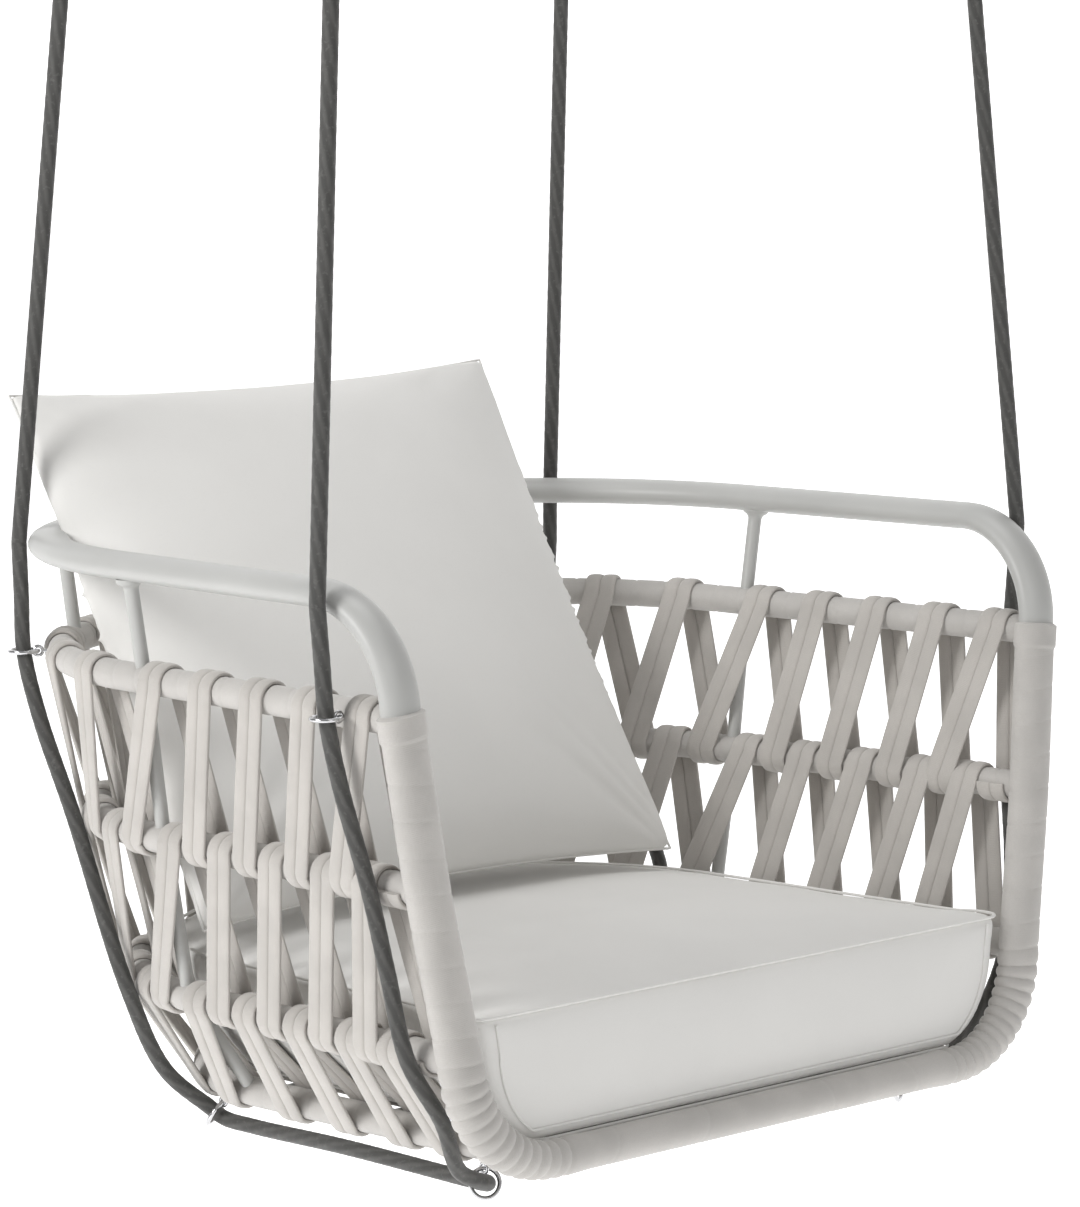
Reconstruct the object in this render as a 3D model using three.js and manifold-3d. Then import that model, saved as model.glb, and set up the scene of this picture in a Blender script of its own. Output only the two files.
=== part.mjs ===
// Hanging porch swing: a rounded basket chair of bent tube and woven straps, carried by four ropes.
// Millimetres, +Z up, the chair's front faces -Y. The origin is the centre of the ceiling plane.
import * as THREE from "three";
import { mergeVertices } from "three/addons/utils/BufferGeometryUtils.js";
import Module from "manifold-3d";

const wasm = await Module();
wasm.setup();

// ---------------------------------------------------------------- driving sizes
const ceilingToUpperRail = 720;
const originToFrontPlane = 307;
const seatHalfWidth = 400;
const seatDepth = 670;

const gap = 0.3;
const armTubeWidth = 40;
const armTubeHeight = 25;
const baseTubeDiameter = 27;
const wrapThickness = 2;
const railDiameter = 25;
const railSides = 8;
const postDiameter = 13;
const strapWidth = 29;
const strapThickness = 3;
const strapClearance = 0.4;
const armBendRadius = 92;
const baseBendRadius = 98;
const uprightLean = 0.066;
const sideTaper = 0.055;

// Each level is an offset from the upper rail: up, outward at the front, and back.
const levels = {
  arm: { height: 100, spread: 15, setback: 5, corner: 320, taper: sideTaper },
  upper: { height: 0, spread: 0, setback: 0, corner: 305, taper: sideTaper },
  middle: { height: -144, spread: -19, setback: -32, corner: 300, taper: sideTaper },
  lower: { height: -289, spread: -44, setback: -63, corner: 290, taper: sideTaper },
  base: { height: -386, spread: -138, setback: -110, corner: 225, taper: 0 },
};
const shortestBackRun = 40;

const postFromFront = 356;
const cornerPostPlace = { slot: 15, offset: 0 };
const slotStart = 25;
const sideSlots = 9;
const backSlots = 25;
const postMargin = 9;
const postSeat = 1.8;

const ropeDiameter = 14;
const ropeSides = 8;
const ropeClearance = 1.5;
const ropeFrontFromPlane = 60;
const ropeBackAngle = 0.72;
const upperRingBackPlace = { slot: 13, offset: 14 };
const frontRopeLean = { inward: 0.083, back: 0.04 };
const backRopeLean = { inward: 0.049, back: -0.093 };
const hingeClearance = 2.5;

const ringOuter = 30;
const ringWire = 4;
const ringFromRail = 35;
const eyeRadius = 4.25;
const eyeWire = 3;
const eyeStub = 3;
const baseRingPlace = { front: { slot: 0, offset: 13 }, back: { slot: 10, offset: 8 } };

const plateDiameter = 70;
const plateThickness = 6;
const hangerEyeDrop = 40;
const hangerEyeRadius = 16;
const hangerEyeWire = 8;
const linkWire = 7;
const linkHalfWidth = 8;
const linkStraight = 30;
const terminalEyeRadius = 8;
const terminalEyeWire = 6;
const terminalDiameter = 20;
const terminalLength = 38;
const terminalBoreDepth = 28;
const screwSpread = 24;
const screwHeadDiameter = 9;
const screwShankDiameter = 5;
const screwLength = 5.4;

const barDiameter = 16;
const crossBarSlots = [4, 8];
const longBarSlot = 18;
const matThickness = 3;
const cushionThickness = 118;
const cushionFrontY = -13;
const cushionSideGap = 2;
const pillowWidth = 575;
const pillowHeight = 526;
const pillowThickness = 170;
const pillowLean = 0.518;
const pillowPlace = { side: -14, fromBack: 189, height: 0 };

// ---------------------------------------------------------------- materials
const finishes = {
  powderCoat: { color: 0xbdbcb8, roughness: 0.45, metalness: 0.15 },
  strap: { color: 0xc6c1b9, roughness: 0.8, metalness: 0 },
  rope: { color: 0x4c4b48, roughness: 0.85, metalness: 0 },
  stainless: { color: 0xc9cacb, roughness: 0.2, metalness: 1 },
  cushion: { color: 0xe9e9e6, roughness: 0.9, metalness: 0 },
};

function addMesh(parent, name, geometry, finish) {
  const mesh = new THREE.Mesh(geometry, new THREE.MeshStandardMaterial(finishes[finish]));
  mesh.name = name;
  parent.add(mesh);
  return mesh;
}

// ---------------------------------------------------------------- solid helpers
function toManifold(geometry) {
  const bare = geometry.clone();
  bare.deleteAttribute("normal");
  bare.deleteAttribute("uv");
  const merged = mergeVertices(bare, 1e-4);
  const vertProperties = new Float32Array(merged.attributes.position.array);
  const triVerts = new Uint32Array(merged.index.array);
  return new wasm.Manifold(new wasm.Mesh({ numProp: 3, vertProperties, triVerts }));
}

function fromManifold(solid) {
  const mesh = solid.getMesh();
  const geometry = new THREE.BufferGeometry();
  geometry.setAttribute("position", new THREE.BufferAttribute(new Float32Array(mesh.vertProperties), 3));
  geometry.setIndex(new THREE.BufferAttribute(new Uint32Array(mesh.triVerts), 1));
  geometry.computeVertexNormals();
  return geometry;
}

const unionOf = (...geometries) => fromManifold(geometries.map(toManifold).reduce((a, b) => a.add(b)));
const cutFrom = (geometry, ...tools) =>
  fromManifold(tools.map(toManifold).reduce((a, b) => a.subtract(b), toManifold(geometry)));

// Joins rings of points, each with the same number of corners, into one skin with flat end caps.
function loft(rings, closed = false) {
  const count = rings[0].length;
  const positions = rings.flat().flatMap((p) => [p.x, p.y, p.z]);
  const index = [];
  const spans = closed ? rings.length : rings.length - 1;
  for (let i = 0; i < spans; i += 1) {
    const near = i * count;
    const far = ((i + 1) % rings.length) * count;
    for (let j = 0; j < count; j += 1) {
      const next = (j + 1) % count;
      index.push(near + j, near + next, far + next, near + j, far + next, far + j);
    }
  }
  if (!closed) {
    const last = (rings.length - 1) * count;
    for (let j = 1; j < count - 1; j += 1) {
      index.push(0, j + 1, j);
      index.push(last, last + j, last + j + 1);
    }
  }
  if (signedVolume(positions, index) < 0) index.reverse();
  const geometry = new THREE.BufferGeometry();
  geometry.setAttribute("position", new THREE.Float32BufferAttribute(positions, 3));
  geometry.setIndex(index);
  geometry.computeVertexNormals();
  return geometry;
}

function signedVolume(positions, index) {
  const corner = (i) => new THREE.Vector3().fromArray(positions, 3 * index[i]);
  let volume = 0;
  for (let i = 0; i < index.length; i += 3) {
    volume += corner(i).dot(corner(i + 1).cross(corner(i + 2)));
  }
  return volume;
}

// An elliptical ring of points around a centre, in the plane of the two unit directions.
function ellipseRing(centre, wide, thin, a, b, sides) {
  const ring = [];
  for (let i = 0; i < sides; i += 1) {
    const angle = (2 * Math.PI * (i + 0.5)) / sides;
    ring.push(
      centre.clone()
        .addScaledVector(wide, a * Math.cos(angle))
        .addScaledVector(thin, b * Math.sin(angle)),
    );
  }
  return ring;
}

// A round bar along a polyline whose bends are mitred; its section is turned square to one fixed direction.
function roundBar(points, diameter, sides, reference = vec(0, 0, 1)) {
  const rings = points.map((point, i) => {
    const before = points[Math.max(i - 1, 0)];
    const after = points[Math.min(i + 1, points.length - 1)];
    const along = after.clone().sub(before).normalize();
    const wide = new THREE.Vector3().crossVectors(along, reference).normalize();
    const thin = new THREE.Vector3().crossVectors(along, wide).normalize();
    return ellipseRing(point, wide, thin, diameter / 2, diameter / 2, sides);
  });
  return loft(rings);
}

// A rope or cord: a round section carried along a curve.
function cordGeometry(curve, diameter, steps) {
  const section = new THREE.Shape();
  for (let i = 0; i < ropeSides; i += 1) {
    const angle = (2 * Math.PI * i) / ropeSides;
    const place = i === 0 ? "moveTo" : "lineTo";
    section[place]((diameter / 2) * Math.cos(angle), (diameter / 2) * Math.sin(angle));
  }
  section.closePath();
  return new THREE.ExtrudeGeometry(section, { steps, bevelEnabled: false, extrudePath: curve });
}

// ---------------------------------------------------------------- plan curves of the rails
const vec = (x, y, z) => new THREE.Vector3(x, y, z);
const uprightY = (height) => 3.5 + uprightLean * height;
const uprightHalfDepth = armTubeHeight / 2 + gap + wrapThickness;

class RailPlan {
  constructor(level, startY) {
    this.height = level.height;
    this.halfWidth = seatHalfWidth + level.spread;
    this.back = seatDepth + level.setback;
    this.lean = Math.atan(level.taper);
    this.taper = level.taper;
    this.startY = startY;
    this.radius = Math.min(level.corner, this.halfWidth - shortestBackRun, this.back - postFromFront + 60);
    this.centreY = this.back - this.radius;
    this.centreX = -(this.halfWidth - this.taper * this.centreY) + this.radius / Math.cos(this.lean);
    this.arcStartY = this.centreY + this.radius * Math.sin(this.lean);
    this.sideLength = (this.arcStartY - startY) / Math.cos(this.lean);
    this.arcLength = this.radius * (Math.PI / 2 - this.lean);
    this.halfLength = this.sideLength + this.arcLength - this.centreX;
    this.length = 2 * this.halfLength;
  }

  // Point on the corner at an angle from the side, seen from the corner's centre, moved outward.
  cornerPoint(angle, outward = 0, side = -1) {
    const reach = this.radius + outward;
    const x = this.centreX - reach * Math.cos(angle);
    return vec(-side * x, this.centreY + reach * Math.sin(angle), this.height);
  }

  // Distance along the left half at which the rail reaches a given Y.
  lengthAtY(y) {
    if (y <= this.arcStartY) return (y - this.startY) / Math.cos(this.lean);
    const angle = Math.asin((y - this.centreY) / this.radius);
    return this.sideLength + this.radius * (angle - this.lean);
  }

  at(distance) {
    if (distance > this.halfLength) {
      const mirrored = this.at(this.length - distance);
      return vec(-mirrored.x, mirrored.y, mirrored.z);
    }
    if (distance <= this.sideLength) {
      const y = this.startY + distance * Math.cos(this.lean);
      return vec(-(this.halfWidth - this.taper * y), y, this.height);
    }
    if (distance <= this.sideLength + this.arcLength) {
      return this.cornerPoint(this.lean + (distance - this.sideLength) / this.radius);
    }
    return vec(this.centreX + distance - this.sideLength - this.arcLength, this.back, this.height);
  }

  // The edges of the strap places, front to back to front, with room left for the two side posts.
  slotEdges() {
    const front = this.lengthAtY(slotStart);
    const post = this.lengthAtY(postFromFront);
    const edges = [];
    for (let i = 0; i <= sideSlots; i += 1) {
      edges.push(front + ((post - postMargin - front) * i) / sideSlots);
    }
    const backStart = post + postMargin;
    for (let i = 0; i <= backSlots; i += 1) {
      edges.push(backStart + ((this.length - 2 * backStart) * i) / backSlots);
    }
    const mirrored = edges.slice(0, sideSlots + 1).map((edge) => this.length - edge);
    return edges.concat(mirrored.reverse());
  }

  // Centre, direction and outward direction of one strap place.
  slot(number) {
    const edges = this.slotEdges();
    const cornersPassed = (number >= sideSlots ? 1 : 0) + (number >= sideSlots + backSlots ? 1 : 0);
    const first = number + cornersPassed;
    const from = this.at(edges[first]);
    const to = this.at(edges[first + 1]);
    const along = to.clone().sub(from).normalize();
    return {
      centre: from.clone().add(to).multiplyScalar(0.5),
      along,
      outward: vec(-along.y, along.x, 0),
      width: to.distanceTo(from),
    };
  }

  // A point between two straps: an offset along the rail from the centre of a free strap place.
  freePoint({ slot, offset }, side) {
    const { centre, along } = this.slot(slot);
    const point = centre.clone().addScaledVector(along, offset);
    return vec(-side * point.x, point.y, point.z);
  }

  // The corner angle at which a point lies, on either side.
  angleOf(point) {
    return Math.atan2(point.y - this.centreY, Math.abs(point.x) + this.centreX);
  }

  polyline() {
    const stops = [0, ...this.slotEdges(), this.length];
    const points = stops.map((stop) => this.at(stop));
    return points.filter((point, i) => {
      if (i === 0 || i === points.length - 1) return true;
      const before = point.clone().sub(points[i - 1]).normalize();
      const after = points[i + 1].clone().sub(point).normalize();
      return before.angleTo(after) > 1e-3;
    });
  }
}

const railStart = (level) => uprightY(level.height) + uprightHalfDepth + 4 * gap;
const baseStart = uprightY(levels.base.height) + baseTubeDiameter / 2 + gap + wrapThickness + gap;
const rails = {
  upper: new RailPlan(levels.upper, railStart(levels.upper)),
  middle: new RailPlan(levels.middle, railStart(levels.middle)),
  lower: new RailPlan(levels.lower, railStart(levels.lower)),
  base: new RailPlan(levels.base, baseStart),
};
const armPlan = new RailPlan(levels.arm, uprightY(0) + armBendRadius);

// ---------------------------------------------------------------- frame
// Stations along the arm tube, from the back centre round the left arm, down the upright to the base.
function armTubeStations() {
  const stations = [];
  for (let i = 0; i <= backSteps; i += 1) {
    const distance = armPlan.halfLength - ((-armPlan.centreX + armPlan.arcLength) * i) / backSteps;
    stations.push(armPlan.at(distance));
  }
  const armEnd = armPlan.at(0);
  const shoulderX = -(seatHalfWidth + 1);
  for (let i = 0; i <= bendSteps; i += 1) {
    const angle = (Math.PI / 2) * (i / bendSteps);
    const x = THREE.MathUtils.lerp(armEnd.x, shoulderX, i / bendSteps);
    const y = armEnd.y - armBendRadius * Math.sin(angle);
    stations.push(vec(x, y, levels.arm.height - armBendRadius * (1 - Math.cos(angle))));
  }
  for (const level of [levels.upper, levels.middle, levels.lower]) {
    stations.push(vec(-(seatHalfWidth + level.spread), uprightY(level.height), level.height));
  }
  return stations.concat(baseBendStations());
}

const uprightSpread = levels.middle.spread - levels.lower.spread;
const uprightTilt = Math.atan(uprightSpread / (levels.middle.height - levels.lower.height));

function baseBendStations() {
  const drop = baseBendRadius * (1 - Math.sin(uprightTilt));
  const startZ = levels.base.height + drop;
  const lowerHalfWidth = seatHalfWidth + levels.lower.spread;
  const startX = -lowerHalfWidth + Math.tan(uprightTilt) * (levels.lower.height - startZ);
  const centreX = startX + baseBendRadius * Math.cos(uprightTilt);
  const centreZ = levels.base.height + baseBendRadius;
  const steps = 6;
  const stations = [];
  for (let i = 0; i <= steps; i += 1) {
    const angle = THREE.MathUtils.lerp(uprightTilt, Math.PI / 2, i / steps);
    const x = centreX - baseBendRadius * Math.cos(angle);
    const z = centreZ - baseBendRadius * Math.sin(angle);
    stations.push(vec(x, uprightY(z), z));
  }
  return stations;
}

// Elliptical rings along the arm tube; the wide axis stays square to the bends and the end is swaged round.
function armTubeRings(stations, growth, sides) {
  const baseLength = 7;
  return stations.map((point, i) => {
    const before = stations[Math.max(i - 1, 0)];
    const after = stations[Math.min(i + 1, stations.length - 1)];
    const along = i === stations.length - 1 ? vec(1, 0, 0) : after.clone().sub(before).normalize();
    const level = Math.abs(along.z) < 0.3 && point.z > 0;
    const wide = level
      ? new THREE.Vector3().crossVectors(along, vec(0, 0, 1)).normalize()
      : new THREE.Vector3(-1, 0, 0).addScaledVector(along, along.x).normalize();
    if (point.z < levels.lower.height) wide.crossVectors(vec(0, 1, 0), along).normalize();
    const thin = new THREE.Vector3().crossVectors(along, wide).normalize();
    const swage = THREE.MathUtils.clamp((i - (stations.length - baseLength)) / (baseLength - 1), 0, 1);
    const a = THREE.MathUtils.lerp(armTubeWidth, baseTubeDiameter, swage) / 2 + growth;
    const b = THREE.MathUtils.lerp(armTubeHeight, baseTubeDiameter, swage) / 2 + growth;
    return ellipseRing(point, wide, thin, a, b, sides);
  });
}

const mirrorPoint = (p) => vec(-p.x, p.y, p.z);

const tubeSides = 10;
const bendSteps = 7;
const backSteps = 12;
const wrapFirstStation = backSteps + bendSteps;

// The tube's rings on the left, from the back centre to the base end, or their mirror image.
const leftRings = (growth) => armTubeRings(armTubeStations(), growth, tubeSides);
const rightRings = (growth) => leftRings(growth).map((ring) => ring.map(mirrorPoint));

const armTubeGeometry = () => loft([...leftRings(0).slice(1).reverse(), ...rightRings(0)]);

// The wrap is a sleeve: the outer skin runs one way and the inner skin comes back inside it.
function frontWrapGeometry() {
  const run = (growth) => [
    ...leftRings(growth).slice(wrapFirstStation),
    ...rightRings(growth).slice(wrapFirstStation).reverse(),
  ];
  return loft([...run(gap + wrapThickness), ...run(gap).reverse()], true);
}

function frontBaseTubeGeometry() {
  const end = leftRings(0).at(-1).map((p) => vec(p.x + gap, p.y, p.z));
  return loft([end, end.map(mirrorPoint)]);
}

// ---------------------------------------------------------------- posts and rails
// Heights at which a side post passes each rail, seen in the plane of the post.
function sidePostPoints(side) {
  const onRail = (name) => rails[name].at(rails[name].lengthAtY(postFromFront));
  const through = ["upper", "middle", "lower"].map(onRail);
  const armPoint = armPlan.at(armPlan.lengthAtY(postFromFront));
  armPoint.z -= armTubeHeight / 2 + postSeat;
  const basePoint = rails.base.at(rails.base.lengthAtY(postFromFront));
  const toBase = basePoint.clone().sub(through[2]).normalize();
  basePoint.addScaledVector(toBase, -(railDiameter / 2 + postDiameter / 2 + 1));
  return [armPoint, ...through, basePoint].map((p) => vec(-side * p.x, p.y, p.z));
}

const sidePost = (side, growth) =>
  roundBar(sidePostPoints(side), postDiameter + 2 * growth, 8, vec(0, 1, 0));

function cornerPost(side) {
  const bottom = rails.upper.freePoint(cornerPostPlace, side);
  const top = armPlan.cornerPoint(rails.upper.angleOf(bottom), 0, side);
  top.z -= armTubeHeight / 2 + postSeat;
  bottom.z += railDiameter / 2 + postSeat;
  return roundBar([top, bottom], postDiameter, 8, vec(0, 1, 0));
}

function railGeometry(plan, drilled) {
  const bar = roundBar(plan.polyline(), railDiameter, railSides);
  return drilled ? cutFrom(bar, sidePost(-1, 2 * gap), sidePost(1, 2 * gap)) : bar;
}

// ---------------------------------------------------------------- woven straps
const loopSegments = 3;
const loopRadius =
  (railDiameter / 2 + strapClearance + strapThickness / 2) / Math.cos(Math.PI / (2 * loopSegments));
const loopHalfThickness = strapThickness / 2 / Math.cos(Math.PI / (2 * loopSegments));
const strapOutside = loopRadius + loopHalfThickness;
const strapSag = 3;

function strapSection(place, angle) {
  const radial = place.outward.clone().multiplyScalar(Math.cos(angle)).add(vec(0, 0, Math.sin(angle)));
  const middle = place.centre.clone().addScaledVector(radial, loopRadius);
  const corner = (across, out) =>
    middle.clone().addScaledVector(place.along, across).addScaledVector(radial, out);
  return [
    corner(-strapWidth / 2, -loopHalfThickness),
    corner(strapWidth / 2, -loopHalfThickness),
    corner(strapWidth / 2, loopHalfThickness),
    corner(-strapWidth / 2, loopHalfThickness),
  ];
}

// One strap wound between two rails, from the right front to the left front: over the top rail at every even
// place, down the inside, under the bottom rail at the odd place beside it, and up the outside.
function wovenTier(top, bottom) {
  const rings = [];
  for (let number = 2 * sideSlots + backSlots - 1; number >= 0; number -= 1) {
    const above = top.slot(number);
    const below = bottom.slot(number);
    const outwardShift = above.centre.clone().sub(below.centre).dot(above.outward);
    const tilt = -Math.atan2(outwardShift, top.height - bottom.height);
    const onTop = number % 2 === 0;
    const start = onTop ? 0 : Math.PI;
    for (let i = 0; i <= loopSegments; i += 1) {
      rings.push(strapSection(onTop ? above : below, tilt + start + (Math.PI * i) / loopSegments));
    }
  }
  return loft(rings);
}

// ---------------------------------------------------------------- rope route
const ropeRadius = ropeDiameter / 2;
const ropeFromRail = strapOutside + ropeRadius + 0.9;

function frontHinge(side) {
  const y = ropeFrontFromPlane;
  const armEndY = uprightY(0) + armBendRadius;
  const sag = armEndY - y;
  const drop = sag > 0 ? armBendRadius - Math.sqrt(armBendRadius ** 2 - sag ** 2) : 0;
  const armX = seatHalfWidth + levels.arm.spread - sideTaper * y;
  return vec(side * (armX + armTubeWidth / 2 + ropeRadius + ropeClearance), y, levels.arm.height - drop);
}

const backHinge = (side) =>
  armPlan.cornerPoint(ropeBackAngle, armTubeWidth / 2 + ropeRadius + ropeClearance, side);

const upperRingBackAngle = rails.upper.angleOf(rails.upper.freePoint(upperRingBackPlace, -1));

function upperRingCentre(place, side) {
  if (place === "back") return rails.upper.cornerPoint(upperRingBackAngle, ringFromRail, side);
  return vec(side * (seatHalfWidth - sideTaper * ropeFrontFromPlane + ringFromRail), ropeFrontFromPlane, 0);
}

// The way the rope runs through a base ring; the ring lies square to it and hangs from its eye.
const baseRingAxis = (place, side) =>
  (place === "front" ? vec(-side * 0.46, 0.86, -0.22) : vec(side * 0.42, 0.72, 0.56)).normalize();

function baseRingEyePoint(place, side) {
  const point = rails.base.freePoint(baseRingPlace[place], side);
  point.z -= railDiameter / 2 + gap + eyeStub + eyeRadius;
  return point;
}

function baseRingUp(place, side) {
  const axis = baseRingAxis(place, side);
  return vec(0, 0, 1).addScaledVector(axis, -axis.z).normalize();
}

const baseRingCentre = (place, side) =>
  baseRingEyePoint(place, side).addScaledVector(baseRingUp(place, side), -(ringOuter - ringWire) / 2);

// The lower rope: arm, upper front ring, outside the panel, both base rings, up the back, arm.
function lowerRopePoints(side) {
  const front = frontHinge(side);
  const back = backHinge(side);
  const frontRing = upperRingCentre("front", side);
  const backRing = upperRingCentre("back", side);
  const baseFront = baseRingCentre("front", side);
  const baseBack = baseRingCentre("back", side);
  const frontAxis = baseRingAxis("front", side);
  const backAxis = baseRingAxis("back", side);
  const beside = (plan, y, extra = 0) => {
    const point = plan.at(plan.lengthAtY(y));
    return vec(-side * (point.x - ropeFromRail - extra), y, point.z);
  };
  const around = (plan, angle, extra = 0) => plan.cornerPoint(angle, ropeFromRail + extra, side);
  const startDown = (hinge, ring) => {
    const along = ring.clone().sub(hinge).normalize();
    return hinge.clone().addScaledVector(along, hingeClearance);
  };
  return [
    startDown(front, frontRing),
    front.clone().lerp(frontRing, 0.5),
    frontRing,
    vec(side * (seatHalfWidth + 25), 52, -55),
    beside(rails.middle, 40),
    vec(side * (seatHalfWidth - 4), 28, -215),
    beside(rails.lower, 20, 1),
    vec(side * (seatHalfWidth - 52), 16, -345),
    vec(side * (seatHalfWidth - 91), 36, -398),
    baseFront.clone().addScaledVector(frontAxis, -9),
    baseFront.clone().addScaledVector(frontAxis, 9),
    baseFront.clone().add(vec(-side * 8, 42, -3)),
    baseFront.clone().lerp(baseBack, 0.5).add(vec(0, 0, -1)),
    baseBack.clone().add(vec(-side * 8, -40, -8)),
    baseBack.clone().addScaledVector(backAxis, -9),
    baseBack.clone().addScaledVector(backAxis, 9),
    baseBack.clone().add(vec(side * 42, 20, 42)),
    around(rails.lower, 0.38, 1),
    around(rails.middle, 0.56),
    backRing.clone().lerp(around(rails.middle, 0.56), 0.4).add(vec(side * 2.6, 2.6, 0)),
    backRing,
    back.clone().lerp(backRing, 0.5),
    startDown(back, backRing),
  ];
}

const lowerRope = (side) =>
  cordGeometry(new THREE.CatmullRomCurve3(lowerRopePoints(side), false, "centripetal"), ropeDiameter, 44);

// ---------------------------------------------------------------- rings and their eyes
function ringGeometry(outer, wire) {
  return new THREE.TorusGeometry((outer - wire) / 2, wire / 2, 6, 14);
}

function aim(mesh, from, to) {
  mesh.quaternion.setFromUnitVectors(from, to.clone().normalize());
}

// A small eye welded to a rail by a stub; it closes round the ring's wire.
function eyeGeometry(reach) {
  const eye = new THREE.TorusGeometry(eyeRadius, eyeWire / 2, 5, 8);
  const stub = new THREE.CylinderGeometry(eyeWire / 2, eyeWire / 2, reach, 5);
  stub.rotateZ(Math.PI / 2);
  stub.translate(-eyeRadius - reach / 2, 0, 0);
  return unionOf(eye, stub);
}

function addUpperRing(parent, name, place, side) {
  const centre = upperRingCentre(place, side);
  const ring = addMesh(parent, `upper_ring_${name}`, ringGeometry(ringOuter, ringWire), "stainless");
  ring.position.copy(centre);
  const outward = place === "front"
    ? vec(side, 0, 0)
    : vec(side * Math.cos(upperRingBackAngle), Math.sin(upperRingBackAngle), 0);
  const wireFromRail = ringFromRail - (ringOuter - ringWire) / 2;
  const reach = wireFromRail - eyeRadius - railDiameter / 2 - gap;
  const eye = addMesh(parent, `upper_ring_eye_${name}`, eyeGeometry(reach), "stainless");
  eye.position.copy(centre).addScaledVector(outward, wireFromRail - ringFromRail);
  eye.rotation.order = "ZXY";
  eye.rotation.set(Math.PI / 2, 0, Math.atan2(outward.y, outward.x));
}

function addBaseRing(parent, name, place, side) {
  const ring = addMesh(parent, `base_ring_${name}`, ringGeometry(ringOuter, ringWire), "stainless");
  ring.position.copy(baseRingCentre(place, side));
  aim(ring, vec(0, 0, 1), baseRingAxis(place, side));
  const eye = addMesh(parent, `base_ring_eye_${name}`, eyeGeometry(eyeStub), "stainless");
  eye.position.copy(baseRingEyePoint(place, side));
  eye.rotation.set(0, Math.PI / 2, 0);
}

// ---------------------------------------------------------------- ceiling fittings and upper ropes
const hingeOf = { front: frontHinge, back: backHinge };
const leanOf = { front: frontRopeLean, back: backRopeLean };

function hangerPivot(place, side) {
  const hinge = hingeOf[place](side);
  const rise = ceilingToUpperRail - hangerEyeDrop - hinge.z;
  const inward = side * leanOf[place].inward * rise;
  return vec(hinge.x - inward, hinge.y + leanOf[place].back * rise, hinge.z + rise);
}

function ceilingPlateGeometry() {
  const plate = new THREE.CylinderGeometry(plateDiameter / 2, plateDiameter / 2, plateThickness, 18);
  plate.rotateX(Math.PI / 2);
  plate.translate(0, 0, -plateThickness / 2);
  const legLength = hangerEyeDrop - hangerEyeRadius - plateThickness + 2;
  const holes = [-1, 1].map((direction) => {
    const hole = screwSolid(gap);
    hole.translate(0, direction * screwSpread, 0);
    return hole;
  });
  return cutFrom(unionOf(plate, eyeBow(legLength)), ...holes);
}

// The hanging bow under a plate: a U of round bar, made as one swept bar.
function eyeBow(legLength) {
  const points = [];
  const bowSteps = 8;
  const bowCentreZ = -hangerEyeDrop + hangerEyeRadius;
  points.push(vec(-hangerEyeRadius, 0, bowCentreZ + legLength));
  for (let i = 0; i <= bowSteps; i += 1) {
    const angle = Math.PI + (Math.PI * i) / bowSteps;
    points.push(vec(hangerEyeRadius * Math.cos(angle), 0, bowCentreZ + hangerEyeRadius * Math.sin(angle)));
  }
  points.push(vec(hangerEyeRadius, 0, bowCentreZ + legLength));
  const rings = points.map((point, i) => {
    const before = points[Math.max(i - 1, 0)];
    const after = points[Math.min(i + 1, points.length - 1)];
    const along = after.clone().sub(before).normalize();
    const across = new THREE.Vector3().crossVectors(along, vec(0, 1, 0));
    return ellipseRing(point, vec(0, 1, 0), across, hangerEyeWire / 2, hangerEyeWire / 2, 8);
  });
  return loft(rings);
}

function screwSolid(growth) {
  const head = screwHeadDiameter / 2 + growth;
  const shank = screwShankDiameter / 2 + growth;
  const headDepth = 2.6;
  const profile = [
    new THREE.Vector2(0, -plateThickness - growth),
    new THREE.Vector2(head, -plateThickness - growth),
    new THREE.Vector2(shank, -plateThickness + headDepth),
    new THREE.Vector2(shank, growth > 0 ? growth : -plateThickness + screwLength),
    new THREE.Vector2(0, growth > 0 ? growth : -plateThickness + screwLength),
  ];
  const screw = new THREE.LatheGeometry(profile, 8);
  screw.rotateX(Math.PI / 2);
  return screw;
}

const linkTop = hangerEyeWire / 2 + linkWire / 2 + strapClearance;
const linkUpperCentre = linkTop - linkHalfWidth;
const linkLowerWire = linkUpperCentre - linkStraight - linkHalfWidth;
const terminalEyeTop = linkLowerWire + linkWire / 2 + terminalEyeWire / 2 + strapClearance;
const terminalEyeCentre = terminalEyeTop - terminalEyeRadius;
const terminalTop = terminalEyeCentre - terminalEyeRadius;
const terminalBottom = terminalTop - terminalLength;

function linkGeometry() {
  const turn = 6;
  const points = [];
  for (let end = 0; end < 2; end += 1) {
    const centreZ = end === 0 ? linkUpperCentre : linkUpperCentre - linkStraight;
    for (let i = 0; i <= turn; i += 1) {
      const angle = Math.PI * (end + i / turn);
      points.push(vec(0, linkHalfWidth * Math.cos(angle), centreZ + linkHalfWidth * Math.sin(angle)));
    }
  }
  const rings = points.map((point, i) => {
    const before = points.at(i - 1);
    const after = points[(i + 1) % points.length];
    const along = after.clone().sub(before).normalize();
    const across = new THREE.Vector3().crossVectors(along, vec(1, 0, 0));
    return ellipseRing(point, vec(1, 0, 0), across, linkWire / 2, linkWire / 2, 8);
  });
  return loft(rings, true);
}

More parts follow.
